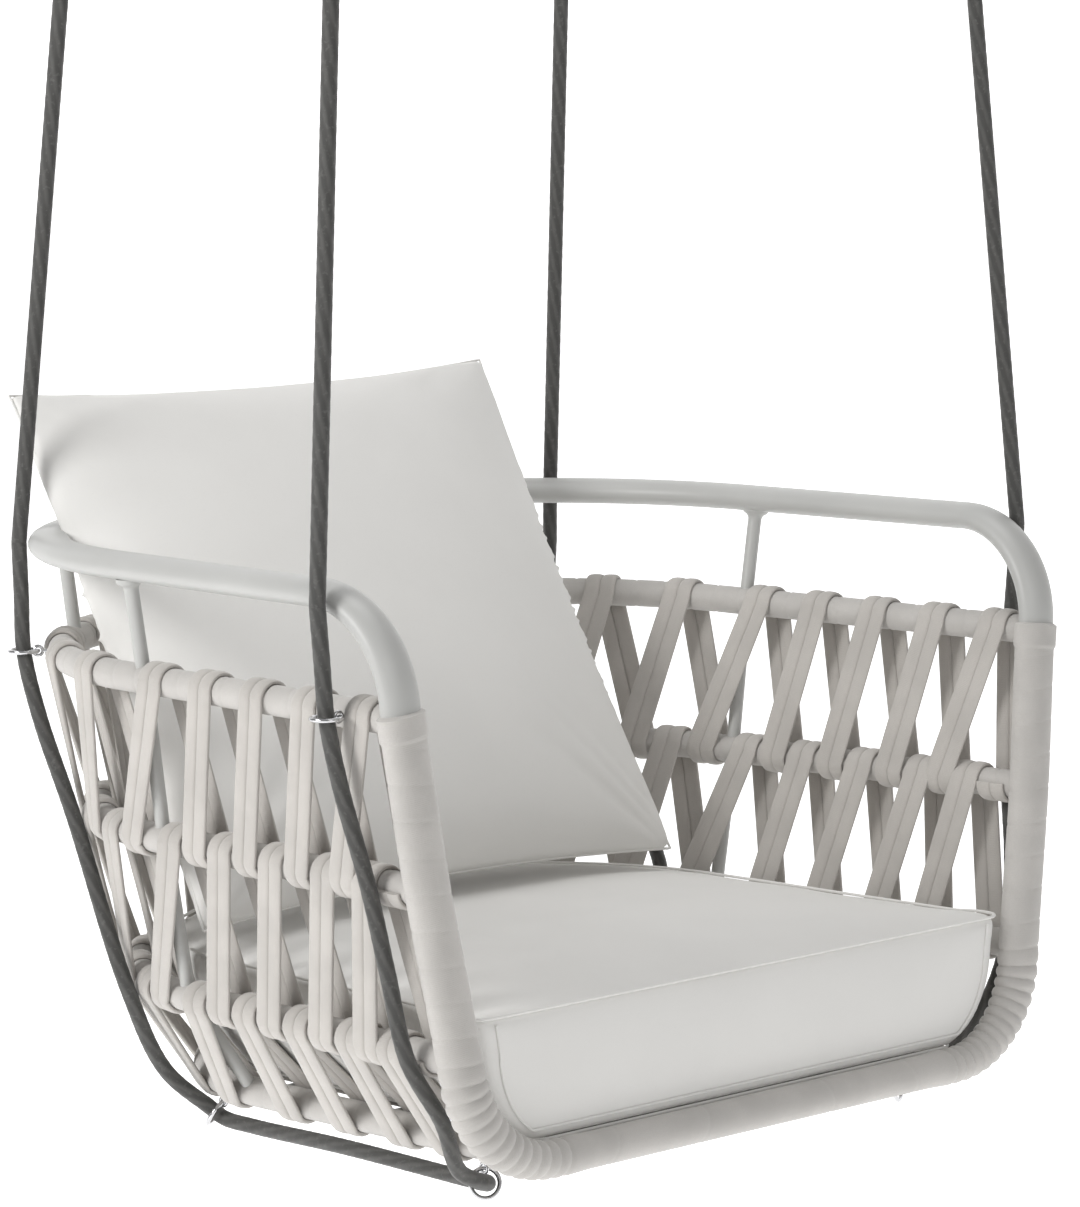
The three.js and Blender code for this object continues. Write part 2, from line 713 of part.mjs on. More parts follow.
function terminalGeometry() {
  const outer = terminalDiameter / 2;
  const bore = ropeRadius + gap;
  const cupTop = terminalTop + 1;
  const profile = [
    new THREE.Vector2(0, terminalBottom + terminalBoreDepth),
    new THREE.Vector2(bore, terminalBottom + terminalBoreDepth),
    new THREE.Vector2(bore, terminalBottom),
    new THREE.Vector2(outer, terminalBottom),
    new THREE.Vector2(outer, cupTop - 5),
    new THREE.Vector2(outer - 5, cupTop),
    new THREE.Vector2(0, cupTop),
  ];
  const cup = new THREE.LatheGeometry(profile, 12);
  cup.rotateX(Math.PI / 2);
  const eye = new THREE.TorusGeometry(terminalEyeRadius, terminalEyeWire / 2, 6, 12);
  eye.rotateX(Math.PI / 2);
  eye.translate(0, 0, terminalEyeCentre);
  return unionOf(cup, eye);
}

function upperRopeGeometry(length) {
  const start = vec(0, 0, terminalBottom + terminalBoreDepth - gap);
  return cordGeometry(new THREE.LineCurve3(start, vec(0, 0, -length)), ropeDiameter, 12);
}

function addHanger(ceiling, hangers, name, place, side) {
  const pivot = hangerPivot(place, side);
  const plate = addMesh(ceiling, `ceiling_plate_${name}`, ceilingPlateGeometry(), "stainless");
  plate.position.set(pivot.x, pivot.y, ceilingToUpperRail);
  for (const [label, direction] of [["front", -1], ["rear", 1]]) {
    const screw = addMesh(ceiling, `plate_screw_${name}_${label}`, screwSolid(0), "stainless");
    screw.position.set(pivot.x, pivot.y + direction * screwSpread, ceilingToUpperRail);
  }
  const hanger = new THREE.Group();
  const hinge = hingeOf[place](side);
  hanger.position.copy(pivot);
  aim(hanger, vec(0, 0, 1), pivot.clone().sub(hinge));
  hangers.add(hanger);
  addMesh(hanger, `hanger_link_${name}`, linkGeometry(), "stainless");
  addMesh(hanger, `rope_terminal_${name}`, terminalGeometry(), "stainless");
  addMesh(hanger, `upper_rope_${name}`, upperRopeGeometry(pivot.distanceTo(hinge)), "rope");
}

// ---------------------------------------------------------------- seat base and cushions

// Two cross bars and two long bars under the cushion, coped to the base rail and welded into one grid.
function seatGridGeometry() {
  const plan = rails.base;
  const barZ = levels.base.height;
  const bars = crossBarSlots.map((number) => {
    const place = plan.slot(number).centre;
    return roundBar([vec(place.x, place.y, barZ), vec(-place.x, place.y, barZ)], barDiameter, 10);
  });
  const frontY = uprightY(barZ) + baseTubeDiameter / 2 + wrapThickness + 2 * gap;
  const backPlace = plan.slot(longBarSlot).centre;
  for (const side of [-1, 1]) {
    const x = -side * backPlace.x;
    bars.push(roundBar([vec(x, frontY, barZ), vec(x, backPlace.y, barZ)], barDiameter, 10));
  }
  return cutFrom(unionOf(...bars), roundBar(plan.polyline(), railDiameter + 4 * gap, railSides));
}

// The free outline inside the basket at a height: the rails' plan there, moved inward by a reach.
function roomOutline(height, inset, frontY) {
  const panelRise = rails.lower.height - rails.base.height;
  const share = THREE.MathUtils.clamp((height - rails.base.height) / panelRise, 0, 1);
  const mix = (name) => THREE.MathUtils.lerp(rails.base[name], rails.lower[name], share);
  const panelSlope = (rails.lower.halfWidth - rails.base.halfWidth) / panelRise;
  const reach = (strapOutside + strapSag) * Math.hypot(1, panelSlope) + inset;
  const radius = mix("radius") - reach;
  const taper = mix("taper");
  const lean = Math.atan(taper);
  const centreY = mix("back") - reach - radius;
  const centreX = -(mix("halfWidth") - taper * centreY - reach) + radius / Math.cos(lean);
  const left = [vec(-(mix("halfWidth") - taper * frontY - reach), frontY, height)];
  const steps = 6;
  for (let i = 0; i <= steps; i += 1) {
    const angle = THREE.MathUtils.lerp(lean, Math.PI / 2, i / steps);
    left.push(vec(centreX - radius * Math.cos(angle), centreY + radius * Math.sin(angle), height));
  }
  return [...left, ...left.map(mirrorPoint).reverse()];
}

const matZ = levels.base.height + barDiameter / 2 + gap + matThickness / 2;
const cushionBottom = matZ + matThickness / 2 + 1;
const baseTubeBackY = uprightY(levels.base.height) + baseTubeDiameter / 2 + wrapThickness + 2;

function seatMatGeometry() {
  const matInset = 4;
  const half = matThickness / 2;
  return loft([-half, half].map((shift) => {
    const outline = roomOutline(matZ - half, matInset, baseTubeBackY);
    return outline.map((p) => vec(p.x, p.y, matZ + shift));
  }));
}

// Shares of the thickness at which the cushion's outline is taken, with how far each is drawn in.
function seatCushionGeometry() {
  const stations = [
    { share: 0, tuck: 0, front: baseTubeBackY + 2 },
    { share: 0.14, tuck: 0, front: baseTubeBackY + 1 },
    { share: 0.2, tuck: 0, front: cushionFrontY },
    { share: 0.5, tuck: 0, front: cushionFrontY },
    { share: 0.92, tuck: 0, front: cushionFrontY },
    { share: 1, tuck: 12, front: cushionFrontY + 12 },
  ];
  return loft(stations.map(({ share, tuck, front }) =>
    roomOutline(cushionBottom + share * cushionThickness, cushionSideGap + tuck, front)));
}

// A knife-edge pillow: thickest in the middle, its corners drawn out to points.
function pillowGeometry() {
  const sphere = mergeVertices(bareSphere());
  const place = sphere.attributes.position;
  for (let i = 0; i < place.count; i += 1) {
    const p = new THREE.Vector3().fromBufferAttribute(place, i);
    const reach = Math.hypot(p.x, p.z);
    const square = reach > 0 ? reach / Math.max(Math.abs(p.x), Math.abs(p.z)) : 1;
    const spread = reach > 0 ? Math.asin(Math.min(reach, 1)) / (Math.PI / 2) : 0;
    const u = reach > 0 ? (p.x / reach) * spread * THREE.MathUtils.lerp(1, square, 0.82) : 0;
    const v = reach > 0 ? (p.z / reach) * spread * THREE.MathUtils.lerp(1, square, 0.82) : 0;
    const crown = Math.sqrt(Math.max(0, (1 - u * u * 0.96) * (1 - v * v * 0.96)));
    const depth = Math.sign(p.y) * crown * (Math.abs(p.y) > 1e-6 ? 1 : 0);
    place.setXYZ(i, (u * pillowWidth) / 2, (depth * pillowThickness) / 2, (v * pillowHeight) / 2);
  }
  sphere.computeVertexNormals();
  return sphere;
}

function bareSphere() {
  const sphere = new THREE.SphereGeometry(1, 20, 10);
  sphere.rotateX(-Math.PI / 2);
  sphere.deleteAttribute("uv");
  sphere.deleteAttribute("normal");
  return sphere;
}

// ---------------------------------------------------------------- assembly
function buildSwing() {
  const swing = new THREE.Group();
  const frame = new THREE.Group();
  frame.position.set(0, -originToFrontPlane, -ceilingToUpperRail);
  swing.add(frame);

  const corners = [["front_left", "front", -1], ["front_right", "front", 1],
    ["back_left", "back", -1], ["back_right", "back", 1]];
  for (const [name, place, side] of corners) {
    addHanger(frame, frame, name, place, side);
    addUpperRing(frame, name, place, side);
    addBaseRing(frame, name, place, side);
  }

  addMesh(frame, "arm_tube", armTubeGeometry(), "powderCoat");
  addMesh(frame, "front_base_tube", frontBaseTubeGeometry(), "powderCoat");
  addMesh(frame, "front_wrap", frontWrapGeometry(), "strap");
  for (const [name, plan] of Object.entries(rails)) {
    addMesh(frame, `${name}_rail`, railGeometry(plan, name !== "base"), "strap");
  }
  addMesh(frame, "strap_tier_upper", wovenTier(rails.upper, rails.middle), "strap");
  addMesh(frame, "strap_tier_middle", wovenTier(rails.middle, rails.lower), "strap");
  addMesh(frame, "strap_tier_lower", wovenTier(rails.lower, rails.base), "strap");
  for (const [label, side] of [["left", -1], ["right", 1]]) {
    addMesh(frame, `side_post_${label}`, sidePost(side, 0), "powderCoat");
    addMesh(frame, `corner_post_${label}`, cornerPost(side), "powderCoat");
    addMesh(frame, `lower_rope_${label}`, lowerRope(side), "rope");
  }
  addMesh(frame, "seat_grid", seatGridGeometry(), "powderCoat");
  addMesh(frame, "seat_mat", seatMatGeometry(), "strap");
  addMesh(frame, "seat_cushion", seatCushionGeometry(), "cushion");
  const pillow = addMesh(frame, "back_pillow", pillowGeometry(), "cushion");
  pillow.position.set(pillowPlace.side, seatDepth - pillowPlace.fromBack, pillowPlace.height);
  pillow.rotation.x = -pillowLean;
  return swing;
}

export default buildSwing();
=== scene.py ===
"""Hanging porch swing: a bent tube basket with woven belts, four ropes, a seat cushion and a back pillow.

Shapes are worked out in millimetres about the upper rail, x across, y back from the front uprights
and z up, and are placed in the row frame in metres by placed().
"""

import math

import bpy
import numpy as np
from mathutils import Matrix, Vector


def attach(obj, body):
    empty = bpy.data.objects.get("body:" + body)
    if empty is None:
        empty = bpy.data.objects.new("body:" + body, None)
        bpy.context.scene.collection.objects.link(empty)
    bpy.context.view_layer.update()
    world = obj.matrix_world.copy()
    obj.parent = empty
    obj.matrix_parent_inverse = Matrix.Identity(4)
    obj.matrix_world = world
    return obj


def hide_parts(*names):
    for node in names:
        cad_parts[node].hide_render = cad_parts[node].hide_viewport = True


bl_info = {
    "name": "Hanging Porch Swing",
    "version": (1, 0, 0),
    "blender": (4, 5, 0),
    "location": "3D View > Sidebar > Porch Swing",
    "description": "Builds a hanging porch swing piece by piece",
    "category": "Add Mesh",
}

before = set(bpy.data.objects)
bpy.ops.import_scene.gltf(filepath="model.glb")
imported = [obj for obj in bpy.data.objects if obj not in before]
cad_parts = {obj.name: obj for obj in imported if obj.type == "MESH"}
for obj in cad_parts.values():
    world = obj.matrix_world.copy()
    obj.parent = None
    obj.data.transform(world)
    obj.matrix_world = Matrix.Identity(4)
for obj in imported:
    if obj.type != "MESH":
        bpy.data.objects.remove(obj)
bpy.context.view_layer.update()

# ------------------------------------------------------------------ places shared with the frame
MILLIMETRE = 0.001
UPPER_RAIL_DEPTH = 720.0
FRONT_PLANE = 307.0
SEAT_HALF_WIDTH = 400.0
SEAT_DEPTH = 670.0
SIDE_TAPER = 0.055
UPRIGHT_LEAN = 0.066
POST_FROM_FRONT = 356.0
ARM_HEIGHT = 100.0
BASE_HEIGHT = -386.0
ARM_SPREAD = 15.0
ARM_BEND = 92.0
ARM_TUBE_WIDE = 40.0
ARM_TUBE_THIN = 25.0
BASE_TUBE = 27.0
BASE_BEND = 98.0
ROPE_BACK_ANGLE = 0.72
RING_BACK_ANGLE = 0.6993
RING_FROM_RAIL = 35.0
ROPE_FROM_FRONT = 60.0
ROPE_RADIUS = 7.0
ROPE_CLEARANCE = 1.5
EYE_RADIUS = 4.3
BOW_RADIUS = 16.0
BOW_WIRE = 8.0
BAR_DIAMETER = 16.0
SLOT_START = 25.0
SIDE_SLOTS = 9
BACK_SLOTS = 25
POST_MARGIN = 9.0
SIDES = ((-1, "left"), (1, "right"))
CORNERS = tuple((place, side, f"{place}_{name}") for place in ("front", "back") for side, name in SIDES)


def placed(points):
    """Millimetres about the upper rail become metres in the row frame: shift by the origin, then scale."""
    return (np.asarray(points, float) + (0.0, -FRONT_PLANE, -UPPER_RAIL_DEPTH)) * MILLIMETRE


def unit(vectors):
    """Each vector divided by its own length."""
    return vectors / np.linalg.norm(vectors, axis=-1, keepdims=True)


def mirrored(points, side):
    """The left half's points, or their mirror image across the middle plane for side 1."""
    return np.asarray(points, float) * (-side, 1.0, 1.0)


def smoothstep(low, high, value):
    """0 below low, 1 above high, and 3t^2 - 2t^3 between them."""
    t = np.clip((value - low) / (high - low), 0.0, 1.0)
    return t * t * (3.0 - 2.0 * t)


def upright_y(height):
    """The front uprights lean: 3.5 plus the lean times the height."""
    return 3.5 + UPRIGHT_LEAN * height


class RailPlan:
    """A rail seen from above: two straight tapered sides, two round corners and a straight back."""

    def __init__(self, height, spread, setback, corner, taper, start):
        self.height = height
        self.half_width = SEAT_HALF_WIDTH + spread
        self.back = SEAT_DEPTH + setback
        self.taper = taper
        self.start = start
        self.lean = math.atan(taper)
        self.radius = min(corner, self.half_width - 40.0, self.back - POST_FROM_FRONT + 60.0)
        self.centre_y = self.back - self.radius
        self.centre_x = -(self.half_width - taper * self.centre_y) + self.radius / math.cos(self.lean)
        self.arc_start_y = self.centre_y + self.radius * math.sin(self.lean)
        self.side_length = (self.arc_start_y - start) / math.cos(self.lean)
        self.arc_length = self.radius * (math.pi / 2 - self.lean)
        self.half_length = self.side_length + self.arc_length - self.centre_x
        self.length = 2.0 * self.half_length

    def at(self, distance):
        """Points and outward directions at distances along the rail, from the left front to the right front.

        Side: start + distance along the tapered line. Corner: centre + radius (-cos a, sin a) with
        a = lean + (distance - side) / radius. Back: straight on. The right half mirrors the left.
        """
        distance = np.asarray(distance, float)
        near = np.minimum(distance, self.length - distance)
        y_side = self.start + near * math.cos(self.lean)
        angle = np.clip(self.lean + (near - self.side_length) / self.radius, self.lean, math.pi / 2)
        past = np.maximum(near - self.side_length - self.arc_length, 0.0)
        on_side = near <= self.side_length
        x_bend = self.centre_x - self.radius * np.cos(angle) + past
        x = np.where(on_side, -(self.half_width - self.taper * y_side), x_bend)
        y = np.where(on_side, y_side, self.centre_y + self.radius * np.sin(angle))
        flip = np.where(distance > self.half_length, -1.0, 1.0)
        points = np.stack([x * flip, y, np.full_like(x, self.height)], -1)
        outward = np.stack([-np.cos(angle) * flip, np.sin(angle), np.zeros_like(x)], -1)
        return points, outward

    def corner(self, angle, outward, side):
        """Centre plus (radius + outward)(-cos angle, sin angle), on one side."""
        reach = self.radius + outward
        x = self.centre_x - reach * math.cos(angle)
        y = self.centre_y + reach * math.sin(angle)
        return mirrored((x, y, self.height), side)

    def length_at_y(self, y):
        """Distance along the left half at which the rail reaches y."""
        if y <= self.arc_start_y:
            return (y - self.start) / math.cos(self.lean)
        return self.side_length + self.radius * (math.asin((y - self.centre_y) / self.radius) - self.lean)

    def place(self, index):
        """Rail centre, direction along the rail and outward direction at a belt place or between two."""
        front, post = self.length_at_y(SLOT_START), self.length_at_y(POST_FROM_FRONT)
        side = (post - POST_MARGIN - front) / SIDE_SLOTS
        behind = (self.length - 2 * (post + POST_MARGIN)) / BACK_SLOTS
        near = front + (np.arange(SIDE_SLOTS) + 0.5) * side
        far = post + POST_MARGIN + (np.arange(BACK_SLOTS) + 0.5) * behind
        distances = np.concatenate([near, far, (self.length - near)[::-1]])
        index = np.asarray(index, float)
        distance = np.interp(index, np.arange(len(distances)), distances)
        distance = distance + (np.minimum(index, 0.0) + np.maximum(index - len(distances) + 1, 0.0)) * side
        points, outward = self.at(distance)
        along = np.stack([outward[..., 1], -outward[..., 0], np.zeros_like(distance)], -1)
        return points, along, outward

    def slots(self):
        """Centre, direction along the rail and outward direction of every belt place, front to front."""
        front = self.length_at_y(SLOT_START)
        post = self.length_at_y(POST_FROM_FRONT)
        side = np.linspace(front, post - POST_MARGIN, SIDE_SLOTS + 1)
        behind = np.linspace(post + POST_MARGIN, self.length - post - POST_MARGIN, BACK_SLOTS + 1)
        starts = np.concatenate([side[:-1], behind[:-1], (self.length - side[1:])[::-1]])
        ends = np.concatenate([side[1:], behind[1:], (self.length - side[:-1])[::-1]])
        first, last = self.at(starts)[0], self.at(ends)[0]
        along = unit(last - first)
        outward = np.stack([-along[:, 1], along[:, 0], np.zeros(len(along))], -1)
        return (first + last) / 2.0, along, outward


def rail_start(height):
    """Where a rail ends at the back of a wound upright."""
    return upright_y(height) + 16.0


RAILS = {
    "upper": RailPlan(0.0, 0.0, 0.0, 305.0, SIDE_TAPER, rail_start(0.0)),
    "middle": RailPlan(-144.0, -19.0, -32.0, 300.0, SIDE_TAPER, rail_start(-144.0)),
    "lower": RailPlan(-289.0, -44.0, -63.0, 290.0, SIDE_TAPER, rail_start(-289.0)),
    "base": RailPlan(BASE_HEIGHT, -138.0, -110.0, 225.0, 0.0, upright_y(BASE_HEIGHT) + 16.1),
}
ARM = RailPlan(ARM_HEIGHT, ARM_SPREAD, 5.0, 320.0, SIDE_TAPER, upright_y(0.0) + ARM_BEND)


# ------------------------------------------------------------------ curves and surfaces
def through(points, count):
    """A smooth line through points: a centripetal Catmull-Rom spline taken at count even shares.

    Each span is the cubic with the two end points and the non-uniform tangents of its four points,
    where the spacing of two points is the square root of their distance.
    """
    points = np.asarray(points, float)
    control = np.vstack([2 * points[0] - points[1], points, 2 * points[-1] - points[-2]])
    share = np.linspace(0.0, len(points) - 1.0, count)
    span = np.minimum(share.astype(int), len(points) - 2)
    t = (share - span)[:, None]
    p0, p1, p2, p3 = (control[span + k] for k in range(4))
    gap = [np.linalg.norm(b - a, axis=1, keepdims=True) ** 0.5 for a, b in ((p0, p1), (p1, p2), (p2, p3))]
    m1 = ((p1 - p0) / gap[0] - (p2 - p0) / (gap[0] + gap[1]) + (p2 - p1) / gap[1]) * gap[1]
    m2 = ((p2 - p1) / gap[1] - (p3 - p1) / (gap[1] + gap[2]) + (p3 - p2) / gap[2]) * gap[1]
    t2, t3 = t * t, t * t * t
    return p1 * (2 * t3 - 3 * t2 + 1) + m1 * (t3 - 2 * t2 + t) + p2 * (3 * t2 - 2 * t3) + m2 * (t3 - t2)


def evenly(path, spacing):
    """The same line with its points an even distance apart, about spacing millimetres."""
    run = np.concatenate([[0.0], np.cumsum(np.linalg.norm(np.diff(path, axis=0), axis=1))])
    places = np.linspace(0.0, run[-1], max(2, int(run[-1] / spacing)))
    return np.stack([np.interp(places, run, path[:, k]) for k in range(3)], -1)


def run_along(path):
    """Distance from the start of the line to each of its points."""
    return np.concatenate([[0.0], np.cumsum(np.linalg.norm(np.diff(path, axis=0), axis=1))])


def heading(path, closed=False):
    """Unit direction of travel at each point, from its two neighbours."""
    if closed:
        return unit(np.roll(path, -1, axis=0) - np.roll(path, 1, axis=0))
    return unit(np.gradient(path, axis=0))


def sections(path, wide, thin, a, b, turns):
    """Rings round a line: centre + a cos(t) wide + b sin(t) thin, t going once round in turns steps."""
    t = (np.arange(turns) + 0.5) * 2 * math.pi / turns
    a = np.broadcast_to(np.asarray(a, float).reshape(-1, 1) if np.ndim(a) < 2 else a, (len(path), turns))
    b = np.broadcast_to(np.asarray(b, float).reshape(-1, 1) if np.ndim(b) < 2 else b, (len(path), turns))
    return (
        path[:, None]
        + (a * np.cos(t))[..., None] * wide[:, None]
        + (b * np.sin(t))[..., None] * thin[:, None]
    )


def frames_of(path, reference, closed=False):
    """Two directions square to the line at each point: across = travel x reference, and travel x across."""
    travel = heading(path, closed)
    across = unit(np.cross(travel, np.asarray(reference, float)))
    return across, np.cross(travel, across)


def skin(rings, closed=False, run=None):
    """Vertices, faces and face-corner UVs of a surface through rings[i, j].

    Row i is one closed ring. Neighbouring rows are joined by quads, and open ends get one flat face
    each. U is the distance along, V is the share of the way round.
    """
    rows, around = rings.shape[:2]
    spans = rows if closed else rows - 1
    run = np.arange(rows, dtype=float) if run is None else np.asarray(run, float)
    i, j = np.meshgrid(np.arange(spans), np.arange(around), indexing="ij")
    following, beside = (i + 1) % rows, (j + 1) % around
    near, far = i * around, following * around
    quads = np.stack([near + j, near + beside, far + beside, far + j], -1)
    step = run[1] - run[0]
    u_far = np.where(i + 1 < rows, run[np.minimum(i + 1, rows - 1)], run[-1] + step)
    u = np.stack([run[i], run[i], u_far, u_far], -1)
    v = np.stack([j, j + 1, j + 1, j], -1) / around
    uv = np.stack([u, v], -1).reshape(-1, 2)
    faces = quads.reshape(-1, 4)
    vertices = rings.reshape(-1, 3)
    a, b, c, d = (vertices[faces[:, k]] for k in range(4))
    volume = np.einsum("ij,ij->i", a, np.cross(b, c)).sum() + np.einsum("ij,ij->i", a, np.cross(c, d)).sum()
    faces = faces.tolist()
    if not closed:
        faces += [list(range(around))[::-1], list(range((rows - 1) * around, rows * around))]
        uv = np.vstack([uv, np.zeros((2 * around, 2))])
    if volume < 0:
        faces = [face[::-1] for face in faces]
        quads_uv = uv[: spans * around * 4].reshape(-1, 4, 2)[:, ::-1].reshape(-1, 2)
        uv = np.vstack([quads_uv, uv[len(quads_uv):]])
    return vertices, faces, uv


def rounded_ends(rings, path, depth, steps=5):
    """Adds rings past both ends that shrink as a quarter circle, so that a bar ends in a dome.

    Ring k is the end ring drawn towards its centre by cos(k) and pushed along by depth sin(k).
    """
    travel = heading(path)
    angle = np.linspace(0.0, math.radians(84.0), steps + 1)[1:, None, None]
    caps = []
    for ring, centre, direction in ((rings[0], path[0], -travel[0]), (rings[-1], path[-1], travel[-1])):
        caps.append(centre + (ring - centre) * np.cos(angle) + direction * depth * np.sin(angle))
    return np.concatenate([caps[0][::-1], rings, caps[1]])


def round_bar(points, diameter, turns=16, reference=(0, 0, 1), dome=0.0):
    """Skin of a round bar along a line."""
    path = np.asarray(points, float)
    across, over = frames_of(path, reference)
    rings = sections(path, across, over, diameter / 2, diameter / 2, turns)
    run = run_along(path)
    if dome:
        rings = rounded_ends(rings, path, dome)
        lead = np.arange(5) * 0.5
        run = np.concatenate([run[0] - 2.5 + lead, run, run[-1] + 0.5 + lead])
    return skin(rings, run=run * MILLIMETRE)


def torus(centre, axis, radius, wire, turns=40, sides=14):
    """Skin of a ring of round wire: (radius + wire cos t)(cos s, sin s) + wire sin t along the axis."""
    axis = unit(np.asarray(axis, float))
    first = unit(np.cross(axis, (0.0, 0.0, 1.0) if abs(axis[2]) < 0.9 else (0.0, 1.0, 0.0)))
    second = np.cross(axis, first)
    s = np.arange(turns)[:, None] * 2 * math.pi / turns
    outward = np.cos(s) * first + np.sin(s) * second
    path = np.asarray(centre, float) + radius * outward
    rings = sections(path, outward, np.broadcast_to(axis, outward.shape), wire, wire, sides)
    return skin(rings, closed=True, run=np.arange(turns) * 2 * math.pi * radius / turns * MILLIMETRE)


def lathe(profile, centre, axis, turns=40):
    """Skin of a turned solid: each (radius, height) pair of the profile becomes a ring round the axis."""
    axis = unit(np.asarray(axis, float))
    first = unit(np.cross(axis, (1.0, 0.0, 0.0)))
    second = np.cross(axis, first)
    t = np.arange(turns) * 2 * math.pi / turns
    profile = np.asarray(profile, float)
    rings = (
        np.asarray(centre, float)
        + profile[:, 0][:, None, None] * (np.cos(t)[:, None] * first + np.sin(t)[:, None] * second)
        + profile[:, 1][:, None, None] * axis
    )
    return skin(rings, run=profile[:, 1] * MILLIMETRE)


# ------------------------------------------------------------------ pieces
def make_mesh(name, skins, crease=40.0):
    """One mesh from several skins in the row frame, smooth but for edges sharper than crease degrees."""
    vertices, faces, uvs, count = [], [], [], 0
    for points, quads, uv in skins:
        vertices.append(points)
        faces += [[index + count for index in face] for face in quads]
        uvs.append(uv)
        count += len(points)
    mesh = bpy.data.meshes.new(name)
    mesh.from_pydata(placed(np.vstack(vertices)).tolist(), [], faces)
    layer = mesh.uv_layers.new(name="run")
    layer.data.foreach_set("uv", np.vstack(uvs).astype(np.float32).ravel())
    mesh.polygons.foreach_set("use_smooth", np.ones(len(mesh.polygons), bool))
    mesh.set_sharp_from_angle(angle=math.radians(crease))
    mesh.validate()
    return mesh


def add_piece(name, mesh, body, nodes, material):
    """A new object that rides on a body, stands for CAD nodes and takes a finish."""
    piece = bpy.data.objects.new(name, mesh)
    bpy.context.scene.collection.objects.link(piece)
    mesh.materials.clear()
    mesh.materials.append(material)
    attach(piece, body)
    if nodes:
        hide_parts(*nodes)
    return piece


# ------------------------------------------------------------------ shader maths
class Wire:
    """A shader socket or number with the usual operators, each of which adds one Math node."""

    def __init__(self, tree, socket):
        self.tree = tree
        self.socket = socket

    def _math(self, operation, *values):
        return self.tree.node("ShaderNodeMath", {"operation": operation}, list(values))

    def __add__(self, other):
        return self._math("ADD", self, other)

    def __sub__(self, other):
        return self._math("SUBTRACT", self, other)

    def __mul__(self, other):
        return self._math("MULTIPLY", self, other)

    __radd__ = __add__
    __rmul__ = __mul__

    def sine(self):
        return self._math("SINE", self)

    def size(self):
        return self._math("ABSOLUTE", self)

    def between(self, low, high):
        """0 at low, 1 at high, smooth between."""
        values = {"Value": self, "From Min": low, "From Max": high}
        return self.tree.node("ShaderNodeMapRange", {"interpolation_type": "SMOOTHSTEP"}, values)


class ShaderTree:
    """A material's node tree, filled by small expressions."""

    def __init__(self, name):
        self.material = bpy.data.materials.new(name)
        self.material.use_nodes = True
        self.nodes = self.material.node_tree.nodes
        self.links = self.material.node_tree.links
        self.shader = next(n for n in self.nodes if n.type == "BSDF_PRINCIPLED")

    def node(self, kind, settings=None, values=None, out=0):
        """Adds a node, sets what it is, then fills or links its sockets, and gives its output."""
        node = self.nodes.new(kind)
        for key, value in (settings or {}).items():
            setattr(node, key, value)
        pairs = enumerate(values) if isinstance(values, list) else (values or {}).items()
        for key, value in pairs:
            self.set(node.inputs[key], value)
        return Wire(self, node.outputs[out])

    def set(self, socket, value):
        """Links a wire to a socket, or sets a constant on it."""
        if isinstance(value, Wire):
            self.links.new(value.socket, socket)
        else:
            socket.default_value = value

    def place(self):
        """Object coordinates, in metres in the row frame."""
        return self.node("ShaderNodeTexCoord", out="Object")

    def run(self):
        """The piece's own map: U is metres along it, V the share of the way round."""
        uv = self.node("ShaderNodeUVMap", {"uv_map": "run"})
        split = self.nodes.new("ShaderNodeSeparateXYZ")
        self.set(split.inputs[0], uv)
        return Wire(self, split.outputs[0]), Wire(self, split.outputs[1])

    def noise(self, scale, detail=3.0):
        """Noise of a scale per metre, in object coordinates."""
        values = {"Scale": scale, "Detail": detail, "Roughness": 0.5, "Vector": self.place()}
        return self.node("ShaderNodeTexNoise", {}, values)

    def mix(self, share, first, second):
        """Colour mix of first and second by share."""
        node = self.nodes.new("ShaderNodeMix")
        node.data_type = "RGBA"
        self.set(node.inputs[0], share)
        self.set(node.inputs[6], first)
        self.set(node.inputs[7], second)
        return Wire(self, node.outputs[2])

    def bump(self, height, distance, strength):
        """A normal bent by a height."""
        values = {"Height": height, "Distance": distance, "Strength": strength}
        return self.node("ShaderNodeBump", {}, values)

    def finish(self, **sockets):
        """Sets or links the shader's sockets, named with underscores, and gives the material."""
        for key, value in sockets.items():
            self.set(self.shader.inputs[key.replace("_", " ")], value)
        return self.material


def shade(colour, factor):
    """A colour made lighter or darker by a factor."""
    return (colour[0] * factor, colour[1] * factor, colour[2] * factor, 1.0)


def powder_coat_material(colour):
    """Satin powder coat: a fine orange-peel skin, faint clouding of its tone and dullness, and small dark
    specks.
    """
    tree = ShaderTree("warm_grey_powder_coat")
    peel = tree.noise(900.0, 2.0)
    cloud = tree.noise(7.0, 4.0)
    speck = tree.noise(2600.0, 1.0).between(0.62, 0.75)
    base = tree.mix(cloud.between(0.3, 0.7), shade(colour, 0.95), shade(colour, 1.04))
    return tree.finish(
        Base_Color=tree.mix(speck * 0.25, base, shade(colour, 0.82)),
        Roughness=cloud * 0.16 + 0.34,
        Normal=tree.bump(peel, 0.00012, 0.5),
    )


